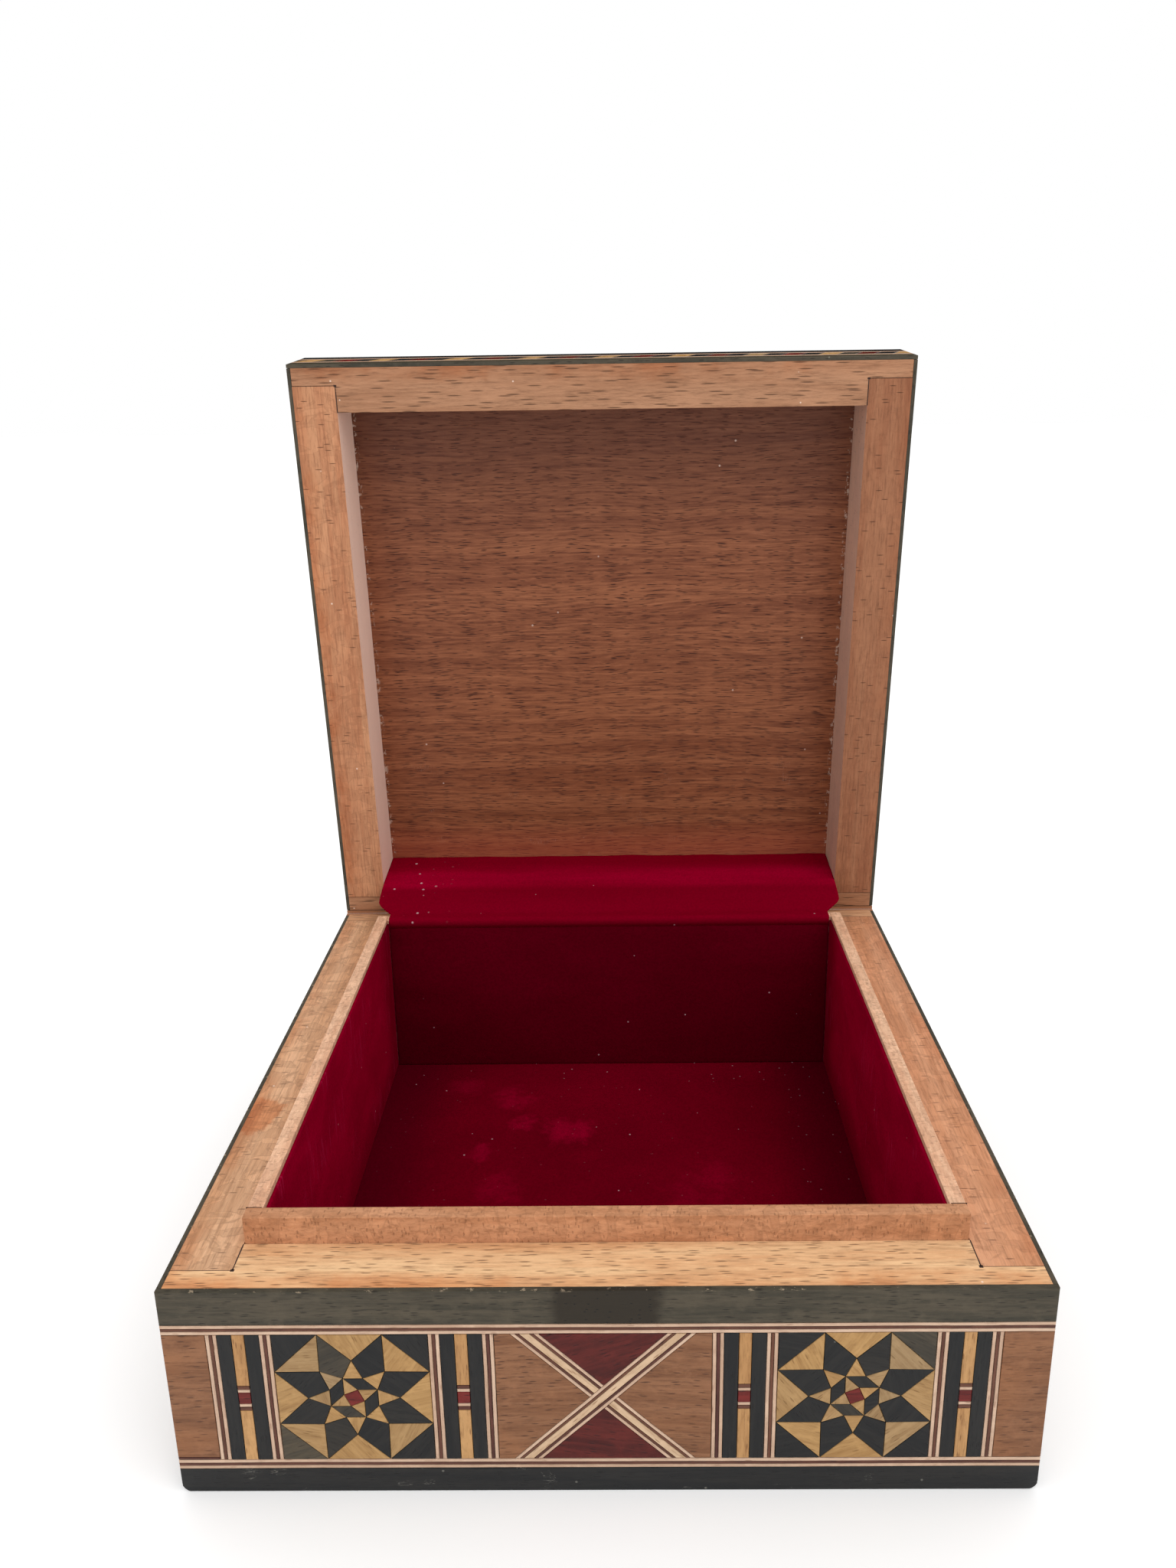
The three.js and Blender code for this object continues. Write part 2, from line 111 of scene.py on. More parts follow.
class Finish:
    """One material: its principled shader, the colour painted so far, and short calls for the nodes."""

    def __init__(self, name, colour, roughness=0.5, specular=0.5):
        self.material = bpy.data.materials.new(name)
        self.material.use_nodes = True
        self.tree = self.material.node_tree
        self.shader = self.tree.nodes["Principled BSDF"]
        self.colour = colour
        self.surface("Roughness", roughness)
        self.surface("Specular IOR Level", specular)

    def feed(self, socket, value):
        if isinstance(value, bpy.types.NodeSocket):
            self.tree.links.new(value, socket)
        else:
            socket.default_value = value

    def node(self, kind, feeds=None, **settings):
        made = self.tree.nodes.new(kind)
        for key, value in settings.items():
            setattr(made, key, value)
        for name, value in (feeds or {}).items():
            self.feed(made.inputs[name], value)
        return made

    def surface(self, name, value):
        """Joins a value to one of the shader's own sockets."""
        self.feed(self.shader.inputs[name], value)

    def done(self, height=None, depth=0.0, strength=1.0):
        """Joins the painted colour, raises the surface by height times depth, and gives the material."""
        self.surface("Base Color", self.colour)
        if height is not None:
            feeds = {"Height": height, "Distance": depth * MM, "Strength": strength}
            self.surface("Normal", self.node("ShaderNodeBump", feeds).outputs[0])
        return self.material

    def space(self, place, shift=(0, 0, 0)):
        """The object's own points in the millimetres of place, moved by shift."""
        location, rotation, scale = place.decompose()
        own = self.node("ShaderNodeTexCoord").outputs["Object"]
        feeds = {"Vector": own, "Location": location, "Rotation": rotation.to_euler(), "Scale": scale}
        placed = self.node("ShaderNodeMapping", feeds, vector_type="TEXTURE").outputs[0]
        return self.vector("ADD", placed, shift)

    def board_space(self, place, along, seed):
        """A space whose X runs along a board's grain, x or y of place, with a place in it for each seed."""
        turned = place @ Matrix.Rotation(math.radians(90), 4, "Z") if along == "y" else place
        return self.space(turned, (seed * 113.0, seed * 71.0, seed * 37.0))

    def vector(self, operation, first, second):
        feeds = {0: first, 1: second}
        return self.node("ShaderNodeVectorMath", feeds, operation=operation).outputs[0]

    def axis(self, space, name):
        return self.node("ShaderNodeSeparateXYZ", {0: space}).outputs[name]

    def maths(self, operation, first, second=0.0):
        return self.node("ShaderNodeMath", {0: first, 1: second}, operation=operation).outputs[0]

    def times(self, first, second):
        return self.maths("MULTIPLY", first, second)

    def away(self, value, middle=0.0):
        """How far a value is from a middle, on either side."""
        return self.maths("ABSOLUTE", self.maths("SUBTRACT", value, middle))

    def span(self, value, low, high, to_low=0.0, to_high=1.0):
        """Value from low to high, spread over to_low to to_high and held at the ends."""
        feeds = {"Value": value, 1: low, 2: high, 3: to_low, 4: to_high}
        return self.node("ShaderNodeMapRange", feeds, interpolation_type="SMOOTHSTEP").outputs[0]

    def mix(self, share, first, second, blend="MIX"):
        feeds = {0: share, 6: first, 7: second}
        settings = {"data_type": "RGBA", "blend_type": blend}
        return self.node("ShaderNodeMix", feeds, **settings).outputs[2]

    def tint(self, towards, share, *reach, blend="MIX"):
        """Paints a colour over the one so far, by a share or by a value spread over a reach, as span does."""
        share = self.span(share, *reach) if reach else share
        self.colour = self.mix(share, self.colour, towards, blend)

    def noise(self, space, size, detail=2.0, rough=0.5, bend=0.0):
        """Noise whose features are about size, three lengths in millimetres."""
        stretched = self.vector("MULTIPLY", space, [1 / length for length in size])
        feeds = {"Vector": stretched, "Scale": 1.0, "Detail": detail, "Roughness": rough, "Distortion": bend}
        return self.node("ShaderNodeTexNoise", feeds).outputs["Fac"]

    def flecks(self, space, size, share, thin=0.08, wide=0.2):
        """Short flecks lying in the faces along X, in a share of cells of a length and a width."""
        flat = self.maths("ADD", self.axis(space, "Y"), self.axis(space, "Z"))
        length, width = size
        feeds = {0: self.maths("DIVIDE", self.axis(space, "X"), length), 1: self.maths("DIVIDE", flat, width)}
        laid = self.node("ShaderNodeCombineXYZ", feeds).outputs[0]
        cells = self.node("ShaderNodeTexVoronoi", {"Vector": laid, "Scale": 1.0}, voronoi_dimensions="2D")
        fleck = self.span(cells.outputs["Distance"], thin, wide, 1.0, 0.0)
        return self.times(fleck, self.maths("LESS_THAN", self.axis(cells.outputs["Color"], "X"), share))

    def scratches(self, space, size, bend, width, patches, rare):
        """Thin curved lines, kept in the patches where a coarser noise passes the two values of rare."""
        wandering = self.noise(space, size, 2, 0.5, bend)
        lines = self.span(self.away(wandering, 0.5), 0.0, width, 1.0, 0.0)
        return self.times(lines, self.span(self.noise(space, patches, 2), *rare))

    def near(self, space, point, radius, ragged, soft):
        """1 at a point, falling to 0 at about a radius. soft is the share of it over which it falls."""
        away = self.node("ShaderNodeVectorMath", {0: space, 1: point}, operation="DISTANCE").outputs["Value"]
        rough = self.maths("SUBTRACT", self.noise(space, [radius * 0.7] * 3, 3, 0.6), 0.5)
        away = self.maths("ADD", away, self.times(rough, ragged * radius))
        return self.span(away, radius * (1 - soft), radius, 1.0, 0.0)

    def specks(self, space, spacing, size, towards, strength=0.6):
        """Paints dots of about a size, scattered through cells of a spacing."""
        cells = self.vector("DIVIDE", space, (spacing, spacing, spacing))
        away = self.node("ShaderNodeTexVoronoi", {"Vector": cells, "Scale": 1.0}).outputs["Distance"]
        dot = self.span(away, size / spacing * 0.3, size / spacing * 0.6, 1.0, 0.0)
        self.tint(towards, self.times(dot, strength))


STAIN = rgb(238, 206, 182)  # what old varnish multiplies the beech by
LIT_FACE_PINK = rgb(255, 222, 204)  # painted light: the pale pink laid on faces across X
BEECH_DUST = rgb(250, 232, 216)
BLOT = (-76.0, -25.0, RIM)  # where varnish has run over the left rim
BLOT_RADIUS = 7.0


def beech(name, place, along, seed, tones, rays, stain, curl, painted_light_across):
    """Planed beech in two tones. rays is the share of cells with a dark fleck and the cells' size, stain how
    orange the outer edges are, curl how strong the figure is, and the last how much paler and pinker painted
    light makes the faces across X."""
    pale, deep = tones
    finish = Finish(name, pale, 0.6, 0.2)
    spot = finish.space(place, (0, DEPTH / 2 if place is LID else 0, 0))
    grain = finish.board_space(place, along, seed)
    brown = shaded(deep, 0.5)
    fibre = finish.noise(grain, (4.5, 0.5, 0.7), 4, 0.7)
    finish.tint(deep, finish.noise(grain, (80, 4, 7), 4, 0.6, 0.3), 0.36, 0.64)
    finish.tint(shaded(pale, 1.12), finish.noise(grain, (16, 6, 8), 3), 0.45, 0.7, 0.0, 0.45)
    finish.tint(brown, finish.noise(grain, (38, 0.7, 1.0), 3, 0.6), 0.52, 0.7, 0.0, 0.3)
    finish.tint(brown, fibre, 0.46, 0.72, 0.0, 0.6)
    finish.tint(shaded(pale, 1.25), fibre, 0.3, 0.46, 0.4, 0.0)
    if curl:
        paint_curl(finish, grain, curl, brown)
    share, size = rays
    fleck = finish.flecks(grain, size, share)
    finish.tint(shaded(deep, 0.36), finish.times(fleck, 0.9))
    reach = finish.maths("MAXIMUM", finish.away(finish.axis(spot, "X")), finish.away(finish.axis(spot, "Y")))
    ragged = finish.maths("ADD", reach, finish.times(finish.noise(spot, (2, 2, 2), 3), 3.0))
    edge = finish.span(ragged, WIDTH / 2 - 4.5, WIDTH / 2 + 0.4)
    patches = finish.span(finish.noise(spot, (17, 17, 17), 3, 0.6), 0.42, 0.6, 0.2, stain)
    finish.tint(STAIN, finish.times(edge, patches), blend="MULTIPLY")
    if name == "beech_base_left":
        finish.tint(STAIN, finish.near(spot, BLOT, BLOT_RADIUS, 1.2, 0.25), blend="MULTIPLY")
    # Painted light: faces across X are made paler and pinker, as if lit from the side.
    if painted_light_across:
        normal = finish.node("ShaderNodeNewGeometry").outputs["Normal"]
        finish.tint(LIT_FACE_PINK, finish.away(finish.axis(normal, "X")), 0.8, 0.95, 0.0, painted_light_across)
    finish.specks(spot, 7.0, 0.5, BEECH_DUST)
    return finish.done(finish.maths("SUBTRACT", fibre, fleck), 0.08, 0.7)


def paint_curl(finish, grain, strength, brown):
    """Wavy lines across the grain, as light catches curled fibres."""
    ripple = finish.noise(grain, (3.4, 7.0, 7.0), 2, 0.5, 0.8)
    finish.tint(brown, finish.away(ripple, 0.5), 0.0, 0.035, strength * 0.5, 0.0)
    finish.tint(brown, ripple, 0.42, 0.58, 0.0, strength * 0.3)


def sawn_beech(name, along, seed, tones):
    """The liners' beech, left rough from the saw: curled, pitted and torn."""
    pale, deep = tones
    finish = Finish(name, pale, 0.8, 0.15)
    grain = finish.board_space(BASE, along, seed)
    torn = finish.noise(grain, (2.2, 0.7, 0.9), 4, 0.75)
    pits = finish.flecks(grain, (0.7, 2.4), 0.5)
    finish.tint(deep, finish.noise(grain, (30, 3, 5), 4, 0.6, 0.5), 0.36, 0.64)
    finish.tint(shaded(deep, 0.55), torn, 0.46, 0.7, 0.0, 0.6)
    finish.tint(shaded(pale, 1.25), torn, 0.3, 0.46, 0.5, 0.0)
    paint_curl(finish, grain, 0.6, shaded(deep, 0.5))
    finish.tint(shaded(deep, 0.45), finish.times(pits, 0.3))
    return finish.done(finish.maths("SUBTRACT", torn, pits), 0.16, 0.8)


SAPELE, SAPELE_BAND = rgb(124, 70, 44), rgb(148, 90, 59)
SAPELE_FIBRE, SAPELE_SILK, SAPELE_SHIMMER = rgb(84, 40, 25), rgb(184, 118, 82), rgb(164, 102, 68)
SAPELE_PORE, SAPELE_PAINTED_SHADE, SAPELE_WARM = rgb(54, 23, 14), rgb(72, 36, 24), rgb(176, 78, 58)
GLUE, SCRATCHED, PANEL_DUST = rgb(196, 176, 160), rgb(206, 176, 160), rgb(214, 190, 176)


def sapele(name):
    """Oiled sapele: short dark pores in faint bands, painted shade darker to the lid's front, glue at the
    sides.
    """
    finish = Finish(name, SAPELE, 0.5, 0.25)
    spot = finish.space(LID)
    wave = finish.times(finish.noise(spot, (46, 16, 20), 2), 5.0)
    grain = finish.vector("ADD", spot, finish.node("ShaderNodeCombineXYZ", {1: wave}).outputs[0])
    fibre = finish.noise(grain, (9, 0.6, 1.0), 4, 0.7)
    long_pores, short_pores = (finish.flecks(grain, size, 0.5) for size in ((10.0, 0.8), (5.0, 0.6)))
    pores = finish.maths("MAXIMUM", long_pores, short_pores)
    finish.tint(SAPELE_BAND, finish.noise(grain, (150, 4, 9), 4, 0.65), 0.34, 0.66)
    finish.tint(SAPELE_FIBRE, fibre, 0.44, 0.68, 0.0, 0.7)
    finish.tint(SAPELE_SILK, fibre, 0.3, 0.45, 0.35, 0.0)
    finish.tint(SAPELE_SHIMMER, finish.noise(grain, (5, 2.2, 3), 3, 0.6, 0.5), 0.5, 0.72, 0.0, 0.25)
    finish.tint(SAPELE_PORE, finish.times(pores, 0.85))
    forward = finish.axis(spot, "Y")
    # Painted shade: darker towards the lid's front.
    finish.tint(SAPELE_PAINTED_SHADE, forward, -DEPTH * 0.6, -DEPTH + 10, 0.0, 0.62)
    finish.tint(SAPELE_WARM, forward, -24, -9, 0.0, 0.4)
    from_side = finish.maths("SUBTRACT", PANEL_EDGE, finish.away(finish.axis(spot, "X")))
    crumbs = finish.span(finish.noise(spot, (1.1, 1.6, 1.1), 3, 0.75), 0.56, 0.62)
    glue = finish.times(finish.span(from_side, 0.3, 1.4, 1.0, 0.0), crumbs)
    finish.tint(GLUE, finish.times(glue, 0.7))
    scratches = finish.scratches(spot, (0.5, 5, 3), 1.5, 0.006, (11, 9, 9), (0.62, 0.68))
    finish.tint(SCRATCHED, finish.times(scratches, finish.span(forward, -52, -30, 0.0, 0.6)))
    finish.specks(spot, 8.5, 0.6, PANEL_DUST)
    finish.surface("Roughness", finish.span(fibre, 0.3, 0.7, 0.42, 0.6))
    return finish.done(finish.maths("SUBTRACT", fibre, pores), 0.06, 0.7)


# The veneers: two tones, the pores' colour, their share, how far single pieces differ, and roughness.
VENEERS = {
    "ebonised": (rgb(26, 29, 31), rgb(36, 38, 38), rgb(16, 17, 18), 0.3, 1.0, 0.14),
    "boxwood": (rgb(180, 150, 98), rgb(160, 129, 80), rgb(126, 96, 54), 0.2, 0.9, 0.2),
    "fustic": (rgb(192, 157, 106), rgb(174, 138, 90), rgb(118, 84, 48), 0.3, 0.6, 0.2),
    "holly": (rgb(208, 190, 168), rgb(192, 170, 148), rgb(156, 130, 110), 0.12, 0.4, 0.2),
    "tulip": (rgb(208, 190, 160), rgb(192, 170, 138), rgb(144, 114, 86), 0.5, 0.3, 0.2),
    "rosewood": (rgb(108, 74, 56), rgb(88, 56, 42), rgb(58, 34, 28), 0.2, 0.9, 0.2),
    "padauk": (rgb(88, 30, 25), rgb(66, 18, 15), rgb(40, 7, 7), 0.5, 0.4, 0.14),
    "walnut": (rgb(140, 103, 74), rgb(120, 84, 57), rgb(62, 38, 25), 0.5, 0.3, 0.2),
    "grey_green": (rgb(80, 77, 64), rgb(58, 58, 48), rgb(34, 32, 26), 0.5, 0.2, 0.18),
}
# What the oddest pieces of a veneer are multiplied by.
VENEER_SHADES = {
    "ebonised": (5.6, 3.9, 2.4, 1.0),
    "boxwood": (0.74, 0.74, 0.95, 1.0),
    "rosewood": (0.6, 0.4, 0.6, 1.0),
    "padauk": (3.4, 2.2, 2.6, 1.0),
}
OTHER_SHADE = rgb(225, 200, 185)
PLAINEST = rgb(255, 240, 235)  # what the plainest pieces are multiplied by
ODD_ONLY = 4.5  # the higher, the fewer pieces of the dark veneer that differ
AMBER = rgb(160, 104, 64)


def veneer(name):
    """Polished veneer. Each piece carries the attributes grain, its own axes in millimetres, and tone."""
    light, dark, pore, pore_share, spread, roughness = VENEERS[name]
    finish = Finish(f"veneer_{name}", light, roughness, 0.2)
    grain = finish.node("ShaderNodeAttribute", attribute_name="grain").outputs["Vector"]
    tone = finish.node("ShaderNodeAttribute", attribute_name="tone").outputs["Fac"]
    fibre = finish.noise(grain, (3.5, 0.4, 0.6), 4, 0.7)
    pores = finish.flecks(grain, (4.6, 0.75), pore_share)
    finish.tint(dark, finish.noise(grain, (30, 1.8, 5), 4, 0.65, 0.6), 0.34, 0.66)
    finish.tint(pore, fibre, 0.46, 0.74, 0.0, 0.6)
    finish.tint(shaded(light, 1.15), finish.noise(grain, (4, 3, 5), 4, 0.65), 0.48, 0.7, 0.0, 0.55)
    finish.tint(pore, finish.times(pores, 0.75))
    if name == "ebonised":
        tone = finish.maths("POWER", tone, ODD_ONLY)
    oddest = finish.mix(1.0, finish.colour, VENEER_SHADES.get(name, OTHER_SHADE), "MULTIPLY")
    finish.tint(PLAINEST, 1.0, blend="MULTIPLY")
    finish.tint(oddest, finish.times(tone, spread))
    grazing = finish.node("ShaderNodeLayerWeight", {"Blend": 0.5}).outputs["Facing"]
    finish.surface("Specular IOR Level", finish.span(grazing, 0.76, 0.88, 0.2, 0.0))
    if name == "grey_green":
        paint_worn_band(finish)
    if name == "ebonised":
        paint_knocks(finish)
    if name == "walnut":
        finish.tint(AMBER, finish.noise(grain, (16, 12, 16), 1), 0.5, 0.75, 0.0, 0.3)
    return finish.done(finish.maths("SUBTRACT", fibre, pores), 0.02, 0.5)


def paint_knocks(finish):
    """Light specks everywhere on the black, and small scratches on the band round the foot."""
    spot = finish.space(BASE)
    at_foot = finish.span(finish.axis(spot, "Z"), 5.5, 6.5, 0.6, 0.0)
    scratches = finish.scratches(spot, (4.0, 4.0, 0.7), 1.2, 0.012, (9, 9, 6), (0.63, 0.67))
    finish.tint(rgb(150, 146, 136), finish.times(scratches, at_foot))
    finish.specks(spot, 6.0, 0.5, rgb(120, 118, 110))


THUMB_PATCH = 18.5  # width of the place where fingers lift the lid
WORN_THROUGH = rgb(176, 122, 88)


def paint_worn_band(finish):
    """The band round the rim: chipped at its upper edge, rubbed to brown at the hinges' line, and dark where
    fingers lift the lid."""
    spot = finish.space(BASE)
    from_rim = finish.away(finish.axis(spot, "Z"), RIM)
    worn = finish.span(from_rim, 0.05, 0.6, 1.0, 0.0)
    finish.surface("Roughness", finish.span(worn, 0.0, 1.0, 0.18, 0.7))
    waver = finish.times(finish.noise(spot, (6, 6, 3), 2), 4.0)
    ragged = finish.maths("ADD", finish.away(finish.axis(spot, "X")), waver)
    reach = THUMB_PATCH / 2 + 2.0  # about what the waver adds
    patch = finish.span(ragged, reach - 1.4, reach + 1.4, 1.0, 0.0)
    fingered = finish.times(patch, finish.span(finish.axis(spot, "Y"), FRONT + 0.5, FRONT + 1.0, 0.95, 0.0))
    finish.tint(rgb(41, 34, 24), fingered)
    finish.tint(rgb(22, 19, 14), finish.times(finish.flecks(spot, (1.8, 0.8), 0.5), fingered))
    from_hinges = finish.away(finish.axis(spot, "Y"), BACK - SKIN / 2)
    finish.tint(WORN_THROUGH, finish.maths("MAXIMUM", from_rim, from_hinges), 0.7, 1.1, 0.9, 0.0)
    finish.specks(spot, 6.0, 0.5, rgb(140, 134, 118))
    chips = finish.span(finish.noise(spot, (2.2, 1.6, 0.8), 4, 0.75), 0.6, 0.66, 0.0, 0.6)
    finish.tint(rgb(176, 156, 130), finish.times(worn, chips))


# Painted shade and light in the velvet: the back wall's darker red and its darker foot, the corners' shade,
# the web's shade deep in the lid and at its fold, and the hem's painted light that offsets the shade of its
# tilt.
BACK_WALL_SHADED, BACK_WALL_FOOT_SHADE = rgb(94, 0, 20), rgb(82, 0, 16)
HEM_LIGHTENED = rgb(120, 0, 26)
CORNER_SHADE = rgb(84, 0, 20)
CRUSHED_PILE = rgb(176, 0, 50)
SCUFFED_PILE = rgb(190, 50, 92)
WEB_DEEP_SHADE, WEB_FOLD_SHADE = rgb(118, 0, 22), rgb(114, 0, 22)
LINT = rgb(214, 178, 184)


def velvet(name, dark, bright, seed, streaks, sheen, paint_detail):
    """Rayon velvet: a dark ground, brighter where the pile leans, with a soft sheen. paint_detail adds one
    face's own marks and its painted light and shade."""
    finish = Finish(name, dark, 0.95, 0.0)
    spot = finish.space(BASE)
    own = finish.vector("ADD", spot, (seed * 57.0, seed * 31.0, seed * 83.0))
    brushed = finish.noise(own, [length * 0.25 for length in streaks], 3, 0.6, 0.6)
    pile = finish.noise(own, (0.6, 0.6, 0.6), 3, 0.75)
    finish.tint(bright, finish.noise(own, streaks, 3, 0.55, 0.4), 0.3, 0.7)
    finish.tint(shaded(bright, 1.25), brushed, 0.56, 0.8, 0.0, 0.35)
    paint_detail(finish, spot)
    finish.tint(shaded(dark, 0.4), pile, 0.35, 0.6, 0.3, 0.0)
    finish.specks(own, 7.0, 0.5, LINT)
    finish.surface("Sheen Weight", sheen)
    finish.surface("Sheen Roughness", 0.4)
    finish.surface("Sheen Tint", rgb(200, 0, 46))
    return finish.done(pile, 0.14, 0.8)


# Where the floor's pile is crushed: X, Y, radius and strength.
CRUSHED = (
    (-28, 44, 8.0, 0.35),
    (-12, 28, 8.5, 0.42),
    (-23, 32, 5.0, 0.35),
    (-33, 19, 5.0, 0.35),
    (-41, 50, 6.0, 0.2),
    (-27, 4, 7.0, 0.2),
    (20, 0, 10.0, 0.18),
    (28, 9, 7.0, 0.18),
)


def paint_floor_detail(finish, spot):
    """Brighter crushed places, painted shade in darker strips along the side walls, and lint swept to the
    back and right.
    """
    for x, y, radius, strength in CRUSHED:
        mark = finish.near(spot, (x, y, FLOOR_TOP), radius, 2.4, 0.9)
        finish.tint(CRUSHED_PILE, finish.times(mark, strength))
    right = finish.axis(spot, "X")
    # Painted shade along the side walls.
    finish.tint(CORNER_SHADE, finish.away(right), 38, 58, 0.0, 0.8)
    at_back = finish.span(finish.axis(spot, "Y"), 48, 60, 0.05, 0.5)
    swept = finish.maths("MAXIMUM", at_back, finish.span(right, 44, 58, 0.0, 0.4))
    finish.specks(spot, 3.2, 0.5, LINT, swept)


def paint_side_detail(finish, spot):
    """Upright scuffs, and painted shade: a soft fall to the back wall's darker red in the back corner, and
    darker towards the floor.
    """
    # Painted shade in the back corner and towards the floor.
    finish.tint(BACK_WALL_SHADED, finish.axis(spot, "Y"), WALL_BACK - 16, WALL_BACK - 3, 0.0, 0.95)
    finish.tint(CORNER_SHADE, finish.axis(spot, "Z"), FLOOR_TOP + 12, FLOOR_TOP, 0.0, 0.8)
    scuff = finish.span(finish.noise(spot, (9, 0.8, 13), 3, 0.6), 0.52, 0.7, 0.0, 0.4)
    rare = finish.span(finish.noise(spot, (15, 15, 15), 2), 0.5, 0.62)
    finish.tint(SCUFFED_PILE, finish.times(scuff, rare))


def paint_back_detail(finish, spot):
    """Painted shade: the back wall is a little darker towards its foot."""
    finish.tint(BACK_WALL_FOOT_SHADE, finish.axis(spot, "Z"), 36, 12, 0.0, 0.35)


def paint_web_detail(finish, spot):
    """Painted shade: the pile is darker deep in the lid and towards the back liner, which leaves a lit band
    along the rim's line. Where the web turns down it is painted lighter, to make up for the shade of its tilt
    and look as dark as the back wall. Lint has gathered at the left end."""
    depth = finish.axis(spot, "Y")
    # Painted shade deep in the lid and towards the liner, leaving a painted highlight along the rim's line.
    finish.tint(WEB_DEEP_SHADE, depth, 81.5, 89.0, 0.0, 0.8)
    finish.tint(WEB_FOLD_SHADE, depth, 75.8, 72.0, 0.0, 0.8)
    # Painted light on the hem, to offset the shade of its downward tilt.
    finish.tint(HEM_LIGHTENED, finish.axis(spot, "Z"), FOLD_TOP - 1.8, FOLD_TOP + 0.3, 1.0, 0.0)
    finish.specks(spot, 3.0, 0.8, LINT, finish.span(finish.axis(spot, "X"), -58, -44, 0.9, 0.0))


def plain(name, colour, roughness, metallic=0.0, mottle=0.15):
    """A fairly even finish with a little mottling and fine scratches."""
    finish = Finish(name, colour, roughness)
    spot = finish.space(BASE)
    cloud = finish.noise(spot, (2.5, 2.5, 2.5), 4, 0.6)
    scratch = finish.noise(spot, (2.0, 0.12, 0.12), 2, 0.6)
    finish.tint(shaded(colour, (1 - mottle) ** 2), cloud, 0.35, 0.65)
    finish.surface("Metallic", metallic)
    finish.surface("Roughness", finish.span(scratch, 0.3, 0.7, roughness * 0.8, min(1.0, roughness * 1.3)))
    return finish.done(scratch, 0.01, 0.5)


# ---- Meshes ----


def add_piece(name, mesh, materials):
    """A new object from a mesh that is built, with its materials."""
    data = bpy.data.meshes.new(name)
    mesh.to_mesh(data)
    mesh.free()
    for material in materials:
        data.materials.append(material)
    piece = bpy.data.objects.new(name, data)
    bpy.context.scene.collection.objects.link(piece)
    return piece


def join_rings(mesh, rings):
    """Closes rings of vertices into a solid: its two ends, and four-cornered faces between."""
    faces = [mesh.faces.new(rings[-1]), mesh.faces.new(rings[0][::-1])]
    for lower, upper in zip(rings, rings[1:]):
        for i in range(len(lower)):
            j = (i + 1) % len(lower)
            faces.append(mesh.faces.new((lower[i], lower[j], upper[j], upper[i])))
    return faces


def cut_along(mesh, point, normal):
    """Cuts the faces of a mesh where a plane passes through them."""
    geometry = mesh.verts[:] + mesh.edges[:] + mesh.faces[:]
    bmesh.ops.bisect_plane(mesh, geom=geometry, plane_co=point, plane_no=normal)


# ---- Marquetry ----

JOINT = 0.045  # half of a glue line between two pieces
CHAMFER = 0.07
SETTLING = 0.03  # how far single pieces have sunk
CUT_SPACING = 6.5  # between the cuts that let long strips waver
WAVER = 0.07  # how far they wander
WAVER_SCALE = 0.09  # steps of noise for each millimetre
HELD = 2.0  # how far in from a face's border the joints are free to wander


def inset(outline, distance):
    """A convex outline, anticlockwise, with every edge moved inwards."""
    moved = []
    for index, here in enumerate(outline):
        before = outline[index - 1]
        after = outline[(index + 1) % len(outline)]
        coming = (here - before).normalized()
        going = (after - here).normalized()
        first = Vector((-coming.y, coming.x))
        second = Vector((-going.y, going.x))
        moved.append(here + (first + second) * (distance / (1 + first.dot(second))))
    return moved


def clip(outline, side):
    """What is left of a convex outline where side(point), a straight-edged measure, is positive."""
    kept = []
    for index, here in enumerate(outline):
        before = outline[index - 1]
        here_in, before_in = side(here), side(before)
        if here_in * before_in < 0:
            kept.append(before.lerp(here, before_in / (before_in - here_in)))
        if here_in >= 0:
            kept.append(here)
    return kept


def rectangle(u0, v0, u1, v1):
    return [Vector((u0, v0)), Vector((u1, v0)), Vector((u1, v1)), Vector((u0, v1))]


